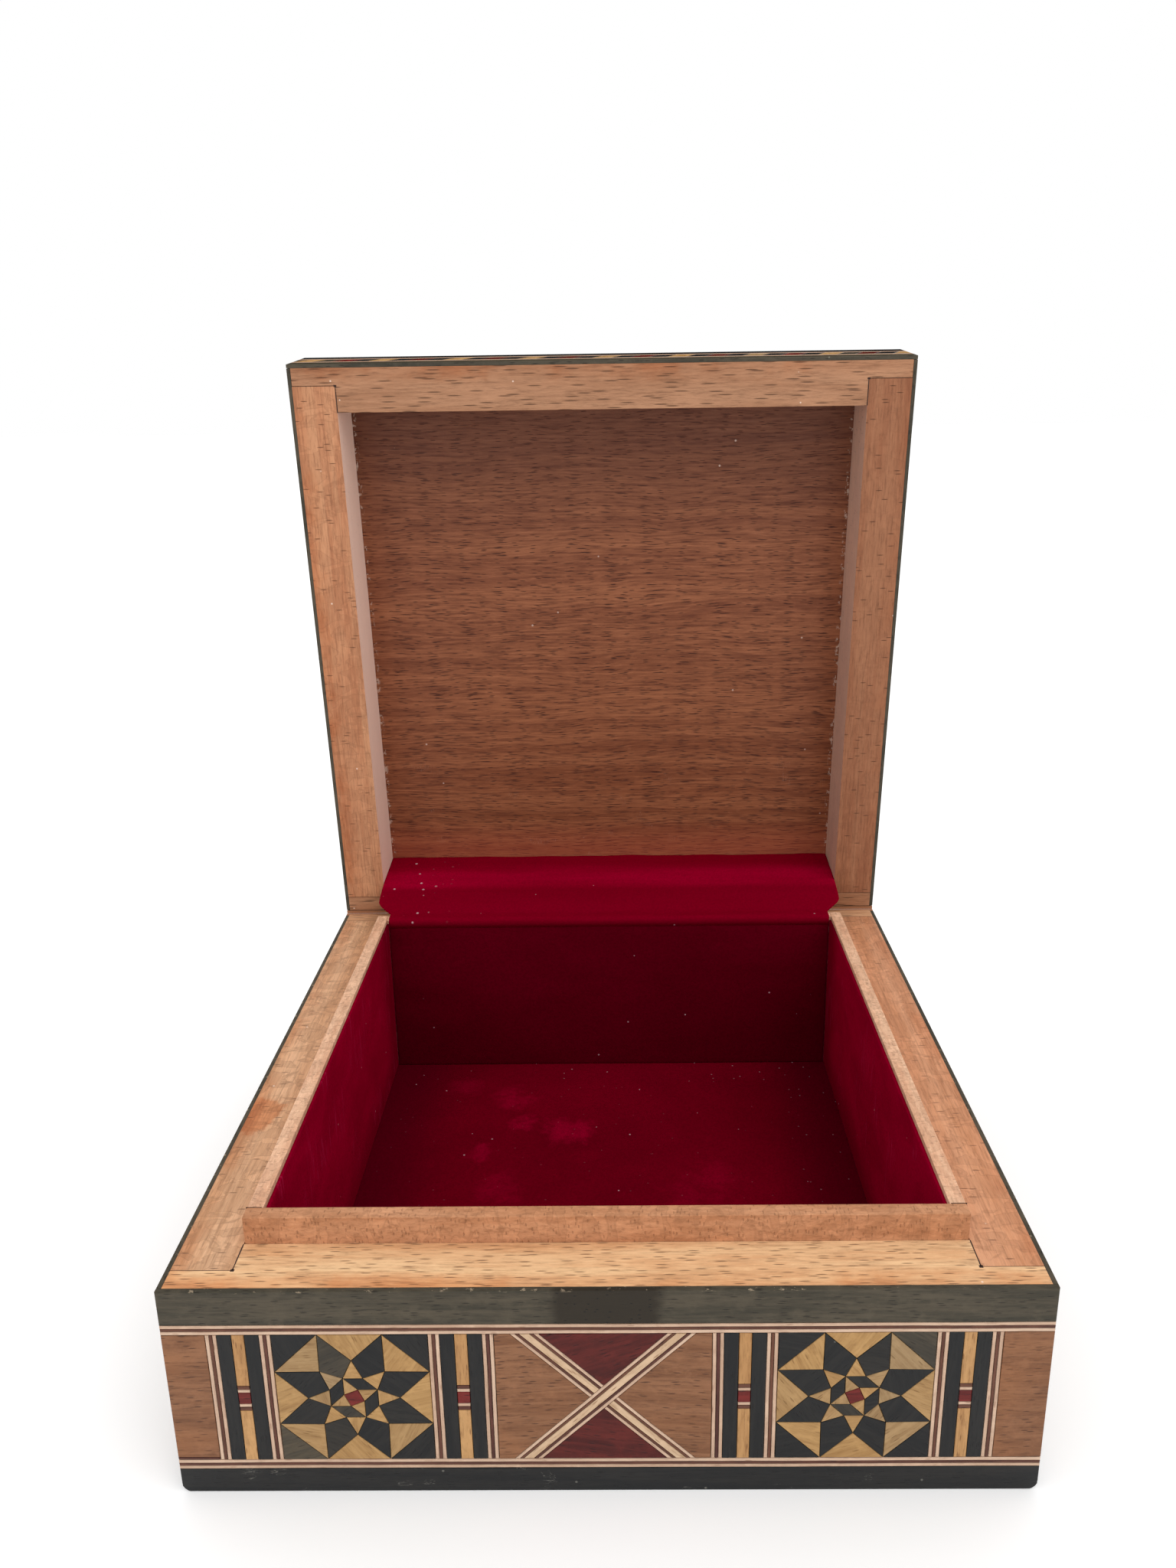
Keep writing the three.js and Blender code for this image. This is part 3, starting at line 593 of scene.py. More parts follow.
class Inlay:
    """Pieces of veneer on one face, as one mesh. u runs along the face, v up it and w out of it. While it is
    swapped, what is laid has its u and v exchanged."""

    def __init__(self, name):
        self.name = name
        self.mesh = bmesh.new()
        self.grain = self.mesh.verts.layers.float_vector.new("grain")
        self.tone = self.mesh.verts.layers.float.new("tone")
        self.woods = []
        self.dice = random.Random(name)
        self.swapped = False

    def lay(self, wood, outline, along=(1.0, 0.0), tone=None):
        """Adds one piece, its edges chamfered and its grain along a direction. tone says how odd it is."""
        if self.swapped:
            outline = [Vector((point.y, point.x)) for point in outline]
            along = along[::-1]
        if wood not in self.woods:
            self.woods.append(wood)
        doubled_area = sum(p.cross(outline[(i + 1) % len(outline)]) for i, p in enumerate(outline))
        if doubled_area < 0:
            outline = outline[::-1]
        grain = Vector(along).normalized()
        across = Vector((-grain.y, grain.x))
        shift = Vector([self.dice.uniform(0, 400) for _ in range(3)])
        chance = self.dice.random() ** 2
        tone = chance if tone is None else tone
        sunk = self.dice.uniform(0, SETTLING)
        edge = inset(outline, JOINT)
        rings = [(edge, -SKIN), (edge, -CHAMFER - sunk), (inset(outline, JOINT + CHAMFER), -sunk)]
        made = []
        for points, w in rings:
            ring = [self.mesh.verts.new((point.x, point.y, w)) for point in points]
            for vertex in ring:
                flat = Vector((vertex.co.x, vertex.co.y))
                vertex[self.grain] = Vector((flat.dot(grain), flat.dot(across), w)) + shift
                vertex[self.tone] = tone
            made.append(ring)
        for face in join_rings(self.mesh, made):
            face.material_index = self.woods.index(wood)

    def cut_across(self, axis):
        """Cuts every piece at even steps along an axis, so that it can bend there."""
        values = [vertex.co[axis] for vertex in self.mesh.verts]
        steps = int((max(values) - min(values)) / CUT_SPACING)
        direction = Vector([float(i == axis) for i in range(3)])
        for step in range(1, steps + 1):
            cut_along(self.mesh, direction * (min(values) + step * CUT_SPACING), direction)

    def waver(self, width, height):
        """Lets the joints wander a little, but not at the borders of the face."""
        for vertex in self.mesh.verts:
            place = vertex.co * WAVER_SCALE + Vector((len(self.name), 0, 0))
            free_u = min(1.0, vertex.co.x / HELD, (width - vertex.co.x) / HELD)
            free_v = min(1.0, vertex.co.y / HELD, (height - vertex.co.y) / HELD)
            vertex.co.x += WAVER * max(0.0, free_u) * noise.noise(place)
            vertex.co.y += WAVER * max(0.0, free_v) * noise.noise(place + Vector((0, 0, 9)))

    def finish(self, size, place, body, node, slot, shape=None):
        """Puts a face of a size on the box in place of a CAD node. shape changes the mesh once it is on."""
        self.cut_across(0)
        self.cut_across(1)
        self.waver(*size)
        self.mesh.transform(place)
        if shape:
            shape(self.mesh)
        piece = add_piece(self.name, self.mesh, [veneers[wood] for wood in self.woods])
        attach(piece, body)
        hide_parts(node)


# Strips side by side, each with its width. Those of a post are in millimetres of its full width.
STRING_LINES = (("holly", 0.35), ("rosewood", 0.3), ("holly", 0.35))
POST_STRIPS = (("string", 2.0), ("ebonised", 2.6), ("fustic", 2.25), ("ebonised", 2.6), ("string", 2.0))
EVEN = 0.1  # the tone of long strips, which all look alike
BRIGHT = 0.8  # the tone of the small red pieces


def shared_out(strips, start, end):
    """Each strip with its own start and end, when together they fill a length."""
    whole = sum(width for _, width in strips)
    at = start
    for kind, width in strips:
        here = at + width * (end - start) / whole
        yield kind, at, here
        at = here


def lay_stringing(inlay, u0, v0, u1, v1, upright=False):
    """Three thin lines side by side: light, dark, light."""
    if upright:
        for wood, start, end in shared_out(STRING_LINES, u0, u1):
            inlay.lay(wood, rectangle(start, v0, end, v1), (0, 1))
    else:
        for wood, start, end in shared_out(STRING_LINES, v0, v1):
            inlay.lay(wood, rectangle(u0, start, u1, end), (1, 0))


# What crosses a post's middle strip at half height, from the middle outwards.
POST_BARS = (("padauk", 1.25), ("holly", 0.66), ("rosewood", 0.8))


def lay_post(inlay, u0, v0, u1, v1):
    """A striped post: stringing, dark, light with a small red block, dark, stringing."""
    for kind, start, end in shared_out(POST_STRIPS, u0, u1):
        if kind == "string":
            lay_stringing(inlay, start, v0, end, v1, upright=True)
        elif kind == "fustic":
            lay_post_middle(inlay, start, v0, end, v1)
        else:
            inlay.lay(kind, rectangle(start, v0, end, v1), (0, 1), EVEN)


def lay_post_middle(inlay, u0, v0, u1, v1):
    middle = (v0 + v1) / 2
    reach = 0.0
    for wood, height in POST_BARS:
        if reach == 0.0:
            inlay.lay(wood, rectangle(u0, middle - height, u1, middle + height), tone=BRIGHT)
        else:
            inlay.lay(wood, rectangle(u0, middle + reach, u1, middle + reach + height))
            inlay.lay(wood, rectangle(u0, middle - reach - height, u1, middle - reach))
        reach += height
    inlay.lay("fustic", rectangle(u0, middle + reach, u1, v1), (0, 1))
    inlay.lay("fustic", rectangle(u0, v0, u1, middle - reach), (0, 1))


# The star, in shares of its square's side: how far its points are from the middle of a side, and the radii of
# the notches between the points and of the octagon inside.
STAR_POINT = 0.207
STAR_NOTCH = 0.298
STAR_HEART = 0.169
NEVER_ZERO = 0.01  # keeps a drawn direction from having no length


def lay_star(inlay, u0, v0, u1, v1):
    """An eight-pointed star of dark kites on a light ground, with a small pinwheel at its heart."""
    centre = Vector(((u0 + u1) / 2, (v0 + v1) / 2))
    half_u, half_v = (u1 - u0) / 2, (v1 - v0) / 2

    def at(radius, degrees):
        angle = math.radians(degrees)
        return centre + Vector((math.cos(angle) * 2 * half_u, math.sin(angle) * 2 * half_v)) * radius

    def lay(wood, *points):
        grain = (inlay.dice.uniform(-1, 1), inlay.dice.uniform(-1, 1) + NEVER_ZERO)
        inlay.lay(wood, list(points), grain)

    point_radius = math.hypot(0.5, STAR_POINT)
    point_angle = math.degrees(math.atan2(STAR_POINT, 0.5))
    corner_radius = math.hypot(0.5, 0.5)
    for turn in (0, 90, 180, 270):
        low, high = at(point_radius, turn - point_angle), at(point_radius, turn + point_angle)
        next_low = at(point_radius, turn + 90 - point_angle)
        notches = [at(STAR_NOTCH, turn + degrees) for degrees in (0, 45, 90)]
        lay("boxwood", low, high, notches[0])
        lay("boxwood", high, next_low, notches[1])
        lay("ebonised", high, at(corner_radius, turn + 45), next_low)
        lay("ebonised", at(STAR_HEART, turn + 22.5), notches[0], high, notches[1])
        lay("ebonised", at(STAR_HEART, turn + 67.5), notches[1], next_low, notches[2])
    for eighth in range(8):
        turn = 45 * eighth
        lay("boxwood", at(STAR_HEART, turn - 22.5), at(STAR_NOTCH, turn), at(STAR_HEART, turn + 22.5))
    ring = [at(STAR_HEART, 112.5 - 45 * index) for index in range(8)]
    inner = []
    for index in (0, 2, 4, 6):
        first, second, third = ring[index], ring[index + 1], ring[(index + 2) % 8]
        inner.append(third - (second - first))
        lay("ebonised", first, second, third, inner[-1])
    for index in range(4):
        lay("boxwood", ring[index * 2], inner[index - 1], inner[index])
    inlay.lay("padauk", inner, tone=BRIGHT)


# The crossed bands, from one edge to the other.
CROSS_LANES = (("holly", 0.62), ("rosewood", 0.5), ("tulip", 1.3), ("rosewood", 0.5), ("holly", 0.62))
CROSS_SPREAD = 13.7  # from the middle to a band's own middle at the top
CROSS_OVERRUN = 1.02  # how far a steep band may run past the corner of a panel
# The ground between them: on which side of each band, the wood and its grain.
CROSS_GROUND = (
    (-1, 1, "padauk", (1.0, 0.35)),
    (1, -1, "padauk", (1.0, -0.15)),
    (-1, -1, "walnut", (1.0, 0.04)),
    (1, 1, "walnut", (1.0, -0.06)),
)


def lay_cross(inlay, u0, v0, u1, v1):
    """Two crossed bands with red above and below and walnut at the sides."""
    centre = Vector(((u0 + u1) / 2, (v0 + v1) / 2))
    half_height = (v1 - v0) / 2
    slope = min(CROSS_SPREAD, half_height * CROSS_OVERRUN) / half_height
    length = math.hypot(slope, 1.0)
    half_band = sum(width for _, width in CROSS_LANES) / 2 * length

    def over(point):
        return (point.x - centre.x) - (point.y - centre.y) * slope

    def under(point):
        return (point.x - centre.x) + (point.y - centre.y) * slope

    def part(*limits):
        outline = rectangle(u0, v0, u1, v1)
        for measure, sign, bound in limits:
            outline = clip(outline, lambda p: sign * (measure(p) - bound))
        return outline

    for wood, start, end in shared_out(CROSS_LANES, -half_band, half_band):
        inlay.lay(wood, part((over, 1, start), (over, -1, end)), (slope, 1.0))
        for sign in (-1, 1):
            lane = part((under, 1, start), (under, -1, end), (over, sign, sign * half_band))
            inlay.lay(wood, lane, (-slope, 1.0))
    for over_sign, under_sign, wood, along in CROSS_GROUND:
        limits = (over, over_sign, over_sign * half_band), (under, under_sign, under_sign * half_band)
        inlay.lay(wood, part(*limits), along, EVEN)


def lay_walnut(inlay, *region):
    inlay.lay("walnut", rectangle(*region), (1.0, 0.03))


MEND = 0.5  # height of the sliver that mends the left end


def lay_mended_walnut(inlay, u0, v0, u1, v1):
    """The left end, mended along its foot with a sliver of rosewood."""
    inlay.lay("rosewood", rectangle(u0, v0, u1, v0 + MEND))
    lay_walnut(inlay, u0, v0 + MEND, u1, v1)


def lay_black_band(inlay, *region):
    inlay.lay("ebonised", rectangle(*region), tone=EVEN)


def lay_grey_band(inlay, *region):
    inlay.lay("grey_green", rectangle(*region), tone=EVEN)


# The front, node by node, with what each one shows and its material slot.
FRONT_ROWS = {
    "front_bottom_band": (lay_black_band, "ebonised"),
    "front_bottom_stringing": (lay_stringing, "holly"),
    "front_top_stringing": (lay_stringing, "holly"),
    "front_top_band": (lay_grey_band, "grey_green"),
}
FRONT_CELLS = {"front_centre_panel": (lay_cross, "walnut")}
for hand, lay_end in (("left", lay_mended_walnut), ("right", lay_walnut)):
    FRONT_CELLS[f"front_{hand}_inner_post"] = (lay_post, "mosaic")
    FRONT_CELLS[f"front_{hand}_star"] = (lay_star, "mosaic")
    FRONT_CELLS[f"front_{hand}_outer_post"] = (lay_post, "mosaic")
    FRONT_CELLS[f"front_{hand}_end_panel"] = (lay_end, "walnut")

FOOT_ROUND = 2.0  # the worn bottom edges at the left and right


def wear_foot(mesh):
    """Rounds the bottom edges at the left and right of the base."""
    centre = RIGHT - FOOT_ROUND
    for angle in (0, 20, 40, 60, 80):
        level = FOOT_ROUND * (1 - math.sin(math.radians(angle)))
        cut_along(mesh, Vector((0, 0, level * MM)), Vector((0, 0, 1)))
    for vertex in mesh.verts:
        drop = FOOT_ROUND - vertex.co.z / MM
        if drop > 0:
            limit = (centre + math.sqrt(max(0.0, FOOT_ROUND**2 - drop**2))) * MM
            vertex.co.x = max(-limit, min(limit, vertex.co.x))


def front_region(node):
    """The ends of a node of the front, u0, v0, u1 and v1, from the front's lower left corner."""
    low, high = node_box(node)
    return low.x - LEFT, low.z, high.x - LEFT, high.z


UP = (0, 0, 1)


def face_place(corner, along, up, place):
    """Axes of a face from its lower left corner, seen from outside."""
    u, v = Vector(along), Vector(up)
    axes = Matrix((u, v, u.cross(v))).transposed().to_4x4()
    return place @ Matrix.Translation(Vector(corner)) @ axes


def add_front():
    place = face_place((LEFT, FRONT, 0), (1, 0, 0), UP, BASE)
    for node, (lay, slot) in {**FRONT_ROWS, **FRONT_CELLS}.items():
        inlay = Inlay(f"marquetry_{node}")
        lay(inlay, *front_region(node))
        inlay.finish((WIDTH, RIM), place, "base", node, slot, wear_foot)


def frieze_cells(length):
    """What fills a frieze like the front's: how each panel is laid, and its ends."""
    middle = length / 2
    centre_low, _, centre_high, _ = front_region("front_centre_panel")
    centre = (centre_low + centre_high) / 2
    cells = [(lay_cross, middle - (centre - centre_low), middle + (centre_high - centre))]
    for name, lay in (("inner_post", lay_post), ("star", lay_star), ("outer_post", lay_post)):
        u0, _, u1, _ = front_region(f"front_right_{name}")
        near, far = u0 - centre, u1 - centre
        cells += [(lay, middle + near, middle + far), (lay, middle - far, middle - near)]
    end = front_region("front_right_outer_post")[2] - centre
    cells += [(lay_walnut, 0, middle - end), (lay_walnut, middle + end, length)]
    return cells


def lay_side(inlay, length):
    """A side of the base, laid like the front."""
    for node, (lay, _) in FRONT_ROWS.items():
        _, v0, _, v1 = front_region(node)
        lay(inlay, 0, v0, length, v1)
    _, v0, _, v1 = front_region("front_centre_panel")
    for lay, u0, u1 in frieze_cells(length):
        lay(inlay, u0, v0, u1, v1)


LID_BAND = 4.6  # the dark bands along the rim and the top of the lid's sides
LID_STRING = 2.05
CHEQUER = 4.8  # length of one piece of the lid's narrow frieze
CHEQUER_WOODS = ("boxwood", "ebonised", "padauk", "ebonised")
SHORTEST_PIECE = 0.6


def lay_lid_side(inlay, length, height):
    """A side of the lid: bands and stringing round a narrow frieze of slanted pieces."""
    low, high = LID_BAND + LID_STRING, height - LID_BAND - LID_STRING
    inlay.lay("grey_green", rectangle(0, 0, length, LID_BAND))
    inlay.lay("ebonised", rectangle(0, height - LID_BAND, length, height))
    lay_stringing(inlay, 0, LID_BAND, length, low)
    lay_stringing(inlay, 0, high, length, height - LID_BAND)
    count = 2 * round(length / CHEQUER / 2) + 1
    step = length / count
    slant = (high - low) / 2
    for index in range(-1, count + 1):
        u0 = index * step
        piece = [Vector((u0, low)), Vector((u0 + step, low))]
        piece += [Vector((u0 + step + slant, high)), Vector((u0 + slant, high))]
        piece = clip(clip(piece, lambda p: p.x), lambda p: length - p.x)
        if len(piece) > 2 and max(p.x for p in piece) - min(p.x for p in piece) > SHORTEST_PIECE:
            inlay.lay(CHEQUER_WOODS[index % 4], piece, (0, 1))


TOP_BORDER = 7.1  # dark border of the lid's top
HEART = 60.0  # side of the big star in the middle


def lay_ring(inlay, wood, near, width, size):
    """A square ring of a wood or of stringing, its four strips butted, near the edges of a square face."""
    far = size - near
    strips = (
        (near, near, far, near + width, False),
        (near, far - width, far, far, False),
        (near, near + width, near + width, far - width, True),
        (far - width, near + width, far, far - width, True),
    )
    for u0, v0, u1, v1, upright in strips:
        if wood == "string":
            lay_stringing(inlay, u0, v0, u1, v1, upright)
        else:
            inlay.lay(wood, rectangle(u0, v0, u1, v1), (0, 1) if upright else (1, 0))


def lay_top(inlay, size):
    """The lid's top: a dark border, a frieze like the front's on four sides, and a big star in the middle."""
    lay_ring(inlay, "grey_green", 0, TOP_BORDER, size)
    lay_ring(inlay, "string", TOP_BORDER, LID_STRING, size)
    low = TOP_BORDER + LID_STRING
    star_low, _, star_high, _ = front_region("front_right_star")
    depth = star_high - star_low
    inner = low + depth
    for u0 in (low, size - inner):
        for v0 in (low, size - inner):
            lay_star(inlay, u0, v0, u0 + depth, v0 + depth)
    post_low, _, post_high, _ = front_region("front_right_outer_post")
    post = post_high - post_low
    for swapped in (False, True):
        inlay.swapped = swapped
        for v0 in (low, size - inner):
            v1 = v0 + inner - low
            lay_post(inlay, inner, v0, inner + post, v1)
            lay_post(inlay, size - inner - post, v0, size - inner, v1)
            lay_cross(inlay, inner + post, v0, size - inner - post, v1)
    inlay.swapped = False
    lay_ring(inlay, "string", inner, LID_STRING, size)
    field = inner + LID_STRING
    heart = (size - HEART) / 2
    lay_ring(inlay, "walnut", field, heart - LID_STRING - field, size)
    lay_ring(inlay, "string", heart - LID_STRING, LID_STRING, size)
    lay_star(inlay, heart, heart, heart + HEART, heart + HEART)


BACK_SKIN_PROUD = 0.25  # how far the lid's back skin stands off, so no light shows past it
BACK_SKIN_LAP = 0.1  # how far it reaches past the rim


def add_side_skins(body, place, height, lay, skins):
    """Lays upright faces of one height. Each has its lower left corner, its direction, length and shaping."""
    for side, corner, along, length, shape in skins:
        node = f"{body}_{side}_skin"
        inlay = Inlay(f"marquetry_{node}")
        lay(inlay, length)
        inlay.finish((length, height), face_place(corner, along, UP, place), body, node, "walnut", shape)


def add_base_skins():
    low, high = node_box("base_left_skin")
    skins = (
        ("right", (RIGHT, low.y, 0), (0, 1, 0), high.y - low.y, wear_foot),
        ("left", (LEFT, high.y, 0), (0, -1, 0), high.y - low.y, wear_foot),
        ("back", (RIGHT, BACK, 0), (-1, 0, 0), WIDTH, notch_base_back),
    )
    add_side_skins("base", BASE, RIM, lay_side, skins)


def add_lid_skins():
    low, high = node_box("lid_left_skin", LID)
    top_low, top_high = node_box("lid_top_skin", LID)
    height = high.z - low.z
    back_corner = (RIGHT, top_high.y + BACK_SKIN_PROUD, low.z - BACK_SKIN_LAP)
    skins = (
        ("front", (LEFT, top_low.y, low.z), (1, 0, 0), WIDTH, None),
        ("back", back_corner, (-1, 0, 0), WIDTH, notch_lid_back),
        ("right", (RIGHT, low.y, low.z), (0, 1, 0), high.y - low.y, None),
        ("left", (LEFT, high.y, low.z), (0, -1, 0), high.y - low.y, None),
    )
    add_side_skins("lid", LID, height, lambda inlay, length: lay_lid_side(inlay, length, height), skins)
    inlay = Inlay("marquetry_lid_top")
    lay_top(inlay, WIDTH)
    place = face_place((LEFT, top_low.y, top_high.z), (1, 0, 0), (0, 1, 0), LID)
    inlay.finish((WIDTH, DEPTH), place, "lid", "lid_top_skin", "mosaic")


NOTCH_GAP = 0.4  # round the hinges' knuckles


def notch(mesh, place, keep_side):
    """Cuts the room for the hinges out of a back skin: whole slices of it beside the hinge line go."""
    knuckle = node_box("left_hinge_base_leaf")[1].z - hinge["pos_m"][2] / MM
    reach = knuckle + NOTCH_GAP
    inverse = place.inverted()
    for hand in ("left", "right"):
        low, high = node_box(f"{hand}_hinge_pin")
        start, end = low.x - NOTCH_GAP, high.x + NOTCH_GAP
        for x in (start, end):
            cut_along(mesh, (x * MM, 0, 0), (1, 0, 0))
        normal = place.to_3x3() @ Vector((0, 0, 1))
        cut_along(mesh, place @ Vector((0, 0, keep_side * reach)), normal.normalized())
        doomed = []
        for face in mesh.faces:
            centre = inverse @ face.calc_center_median()
            if start < centre.x < end and keep_side * centre.z < reach:
                doomed.append(face)
        bmesh.ops.delete(mesh, geom=doomed, context="FACES")


def notch_base_back(mesh):
    wear_foot(mesh)
    notch(mesh, HINGE_LINE, -1)


def notch_lid_back(mesh):
    notch(mesh, LID, 1)


# ---- Boards, liners and hardware ----

EASED = 0.14  # how far the boards' edges are eased
EASED_LINER = 0.35
EASED_PANEL = 0.2
EASED_LEAF, EASED_PIN = 0.06, 0.05
WELDED = 0.005  # corners of the CAD mesh nearer than this are one
SHARP = 35  # degrees between two faces


def paint(node, material, eased=EASED):
    """Gives a CAD node its material, and eases its sharp edges as it is shown."""
    piece = frame["nodes"][node]
    piece.data.materials.clear()
    piece.data.materials.append(material)
    if eased:
        weld = piece.modifiers.new("weld", "WELD")
        weld.merge_threshold = WELDED * MM
        bevel = piece.modifiers.new("ease", "BEVEL")
        bevel.width = eased * MM
        bevel.segments = 2
        bevel.limit_method = "ANGLE"
        bevel.angle_limit = math.radians(SHARP)


# The share of cells that hold a ray fleck, and the cells' size along the grain and across it.
NEAR_RAYS = (0.75, (7.0, 0.75))
LONG_RAYS = (0.75, (12.0, 1.0))
CROSS_RAYS = (0.16, (0.8, 5.5))
SIDE_TONES = (rgb(220, 174, 136), rgb(202, 152, 112))
LID_TONES = (rgb(179, 132, 100), rgb(163, 115, 84))
# The boards: their two tones, rays, stain, curl, and how much paler painted light makes their faces across X.
BOARDS = {
    "base_front": ((rgb(234, 194, 148), rgb(218, 166, 120)), NEAR_RAYS, 0.8, 0.0, 0.0),
    "base_back": (SIDE_TONES, LONG_RAYS, 0.3, 0.0, 0.0),
    "base_left": (SIDE_TONES, CROSS_RAYS, 0.6, 0.8, 0.0),
    "base_right": ((rgb(214, 156, 118), rgb(198, 136, 96)), CROSS_RAYS, 0.5, 0.6, 0.0),
    "lid_front": (LID_TONES, LONG_RAYS, 0.8, 0.0, 0.0),
    "lid_back": (LID_TONES, LONG_RAYS, 0.2, 0.0, 0.0),
    "lid_left": ((rgb(200, 144, 106), rgb(184, 122, 86)), CROSS_RAYS, 0.8, 0.5, 0.85),
    "lid_right": ((rgb(162, 110, 79), rgb(148, 94, 65)), CROSS_RAYS, 0.4, 0.3, 0.3),
}
# The liners' two tones, and how far their edges are eased.
RAW_TONES = (rgb(238, 194, 160), rgb(222, 170, 136))
LINERS = {
    "front": ((rgb(206, 150, 112), rgb(190, 132, 94)), EASED_LINER),
    "left": (RAW_TONES, EASED),
    "right": (RAW_TONES, EASED),
    "back": (RAW_TONES, EASED),
}


def add_boards():
    for seed, (board, look) in enumerate(BOARDS.items(), 1):
        place = BASE if board.startswith("base") else LID
        along = "y" if board.endswith(("left", "right")) else "x"
        paint(f"{board}_board", beech(f"beech_{board}", place, along, seed, *look))
    for seed, (side, (tones, eased)) in enumerate(LINERS.items(), len(BOARDS) + 1):
        along = "y" if side in ("left", "right") else "x"
        paint(f"{side}_liner", sawn_beech(f"beech_{side}_liner", along, seed, tones), eased)
    paint("lid_panel", sapele("sapele_panel"), eased=0)
    paint("bottom_panel", plain("plywood", rgb(190, 152, 108), 0.8), EASED_PANEL)


JOINT_TIGHT = 0.07  # width of a closed joint's dark line
JOINT_OPEN = 0.22
JOINT_PROUD = 0.015
JOINT_DEEP = 0.3
JOINT_STEP = 1.2
JOINT_UNEVEN = 0.5  # the share by which its width comes and goes
CORNER_GAP = 0.55  # width of the small hole where three joints meet, and its reach to either side
CORNER_REACH = 0.35


def add_joint_lines(name, place, body, level, facing, strips):
    """Dirt and painted shade in the joints between boards: dark strips laid in them. facing is the side of
    the boards it shows on, along Z. A strip has two ends and a width."""
    mesh = bmesh.new()
    top, bottom = level + facing * JOINT_PROUD, level - facing * JOINT_DEEP
    for x0, y0, x1, y1, width in strips:
        start, end = Vector((x0, y0, 0)), Vector((x1, y1, 0))
        along = (end - start).normalized()
        across = Vector((-along.y, along.x, 0))
        count = max(2, round((end - start).length / JOINT_STEP))
        rings = []
        for index in range(count + 1):
            here = start.lerp(end, index / count)
            half = width / 2 * (1 + JOINT_UNEVEN * noise.noise(here * 0.8))
            corners = [(half, top), (-half, top), (-half, bottom), (half, bottom)]
            rings.append([mesh.verts.new(here + across * side + Vector((0, 0, z))) for side, z in corners])
        join_rings(mesh, rings)
    bmesh.ops.recalc_face_normals(mesh, faces=mesh.faces)
    mesh.transform(place)
    piece = add_piece(name, mesh, [joint_dirt_and_shade])
    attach(piece, body)


def corner_strips(part, place):
    """The lines of the four rabbeted corners of the base or the lid, seen on the rim."""
    strips = []
    for hand in ("left", "right"):
        low, high = node_box(f"{part}_{hand}_board", place)
        inner, outer = (high.x, low.x) if hand == "left" else (low.x, high.x)
        for end, shoulder in (("front", low.y), ("back", high.y)):
            board_low, board_high = node_box(f"{part}_{end}_board", place)
            inside = board_high.y if end == "front" else board_low.y
            strips.append((inner, shoulder, inner, inside, JOINT_OPEN if end == "front" else JOINT_TIGHT))
            strips.append((outer, shoulder, inner, shoulder, JOINT_TIGHT))
            half = math.copysign(CORNER_REACH, inner)
            strips.append((inner - half, shoulder, inner + half, shoulder, CORNER_GAP))
    return strips


def add_joints():
    add_joint_lines("base_joint_lines", BASE, "base", RIM, 1, corner_strips("base", BASE))
    lid_rim = node_box("lid_left_board", LID)[0].z
    add_joint_lines("lid_joint_lines", LID, "lid", lid_rim, -1, corner_strips("lid", LID))
    liner_high = node_box("front_liner")[1]
    strips = []
    for hand in ("left", "right"):
        low, high = node_box(f"{hand}_liner")
        strips.append((low.x, liner_high.y, high.x, liner_high.y, JOINT_TIGHT))
    add_joint_lines("liner_joint_lines", BASE, "base", liner_high.z, 1, strips)


def add_hardware():
    brass = plain("brass", rgb(196, 160, 92), 0.34, 1.0, 0.3)
    steel = plain("steel", rgb(150, 146, 140), 0.42, 1.0, 0.3)
    for hand in ("left", "right"):
        for part in ("base", "lid"):
            paint(f"{hand}_hinge_{part}_leaf", brass, EASED_LEAF)
            for number in (1, 2):
                paint(f"{hand}_hinge_{part}_nail_{number}", steel, EASED_PIN)
        paint(f"{hand}_hinge_pin", steel, EASED_PIN)


# ---- Velvet ----

PILE_EDGE = 0.9  # how far in from its border the pile has its full height
BORDER_PILE = 0.8  # the share of that height at the border
BROAD_SWELL, FINE_SWELL = 0.12, 0.05
SHEET_STEP = 2.4


def spread(length, step):
    """Even steps along a length, with closer ones at both ends."""
    count = max(2, round((length - 2 * PILE_EDGE) / step))
    inner = [PILE_EDGE + (length - 2 * PILE_EDGE) * index / count for index in range(count + 1)]
    return [0.0, PILE_EDGE * 0.3] + inner + [length - PILE_EDGE * 0.3, length]


def grid_mesh(name, rows, material):
    """A closed thin sheet from rows of (face point, back point) pairs, in millimetres."""
    mesh = bmesh.new()
    faces = [[mesh.verts.new(front * MM) for front, _ in row] for row in rows]
    backs = [[mesh.verts.new(back * MM) for _, back in row] for row in rows]
    last_row, last = len(rows) - 1, len(rows[0]) - 1
    for i in range(last_row):
        for j in range(last):
            for side in (faces, backs):
                corners = side[i][j], side[i][j + 1], side[i + 1][j + 1], side[i + 1][j]
                mesh.faces.new(corners).smooth = True
    for i in range(last_row):
        mesh.faces.new((faces[i][0], faces[i + 1][0], backs[i + 1][0], backs[i][0]))
        mesh.faces.new((faces[i + 1][last], faces[i][last], backs[i][last], backs[i + 1][last]))
    for j in range(last):
        mesh.faces.new((faces[0][j + 1], faces[0][j], backs[0][j], backs[0][j + 1]))
        mesh.faces.new((faces[-1][j], faces[-1][j + 1], backs[-1][j + 1], backs[-1][j]))
    bmesh.ops.recalc_face_normals(mesh, faces=mesh.faces)
    return add_piece(name, mesh, [material])


def pile_height(u, v, size_u, size_v, base_height):
    """Height of the pile: lower at the borders, with soft swells between."""
    border = min(u, v, size_u - u, size_v - v)
    rise = min(1.0, border / PILE_EDGE)
    broad, fine = noise.noise(Vector((u, v, size_u)) * 0.11), noise.noise(Vector((u, v, size_v)) * 0.4)
    height = base_height * (BORDER_PILE + (1 - BORDER_PILE) * math.sqrt(rise))
    return height + (BROAD_SWELL * broad + FINE_SWELL * fine) * rise


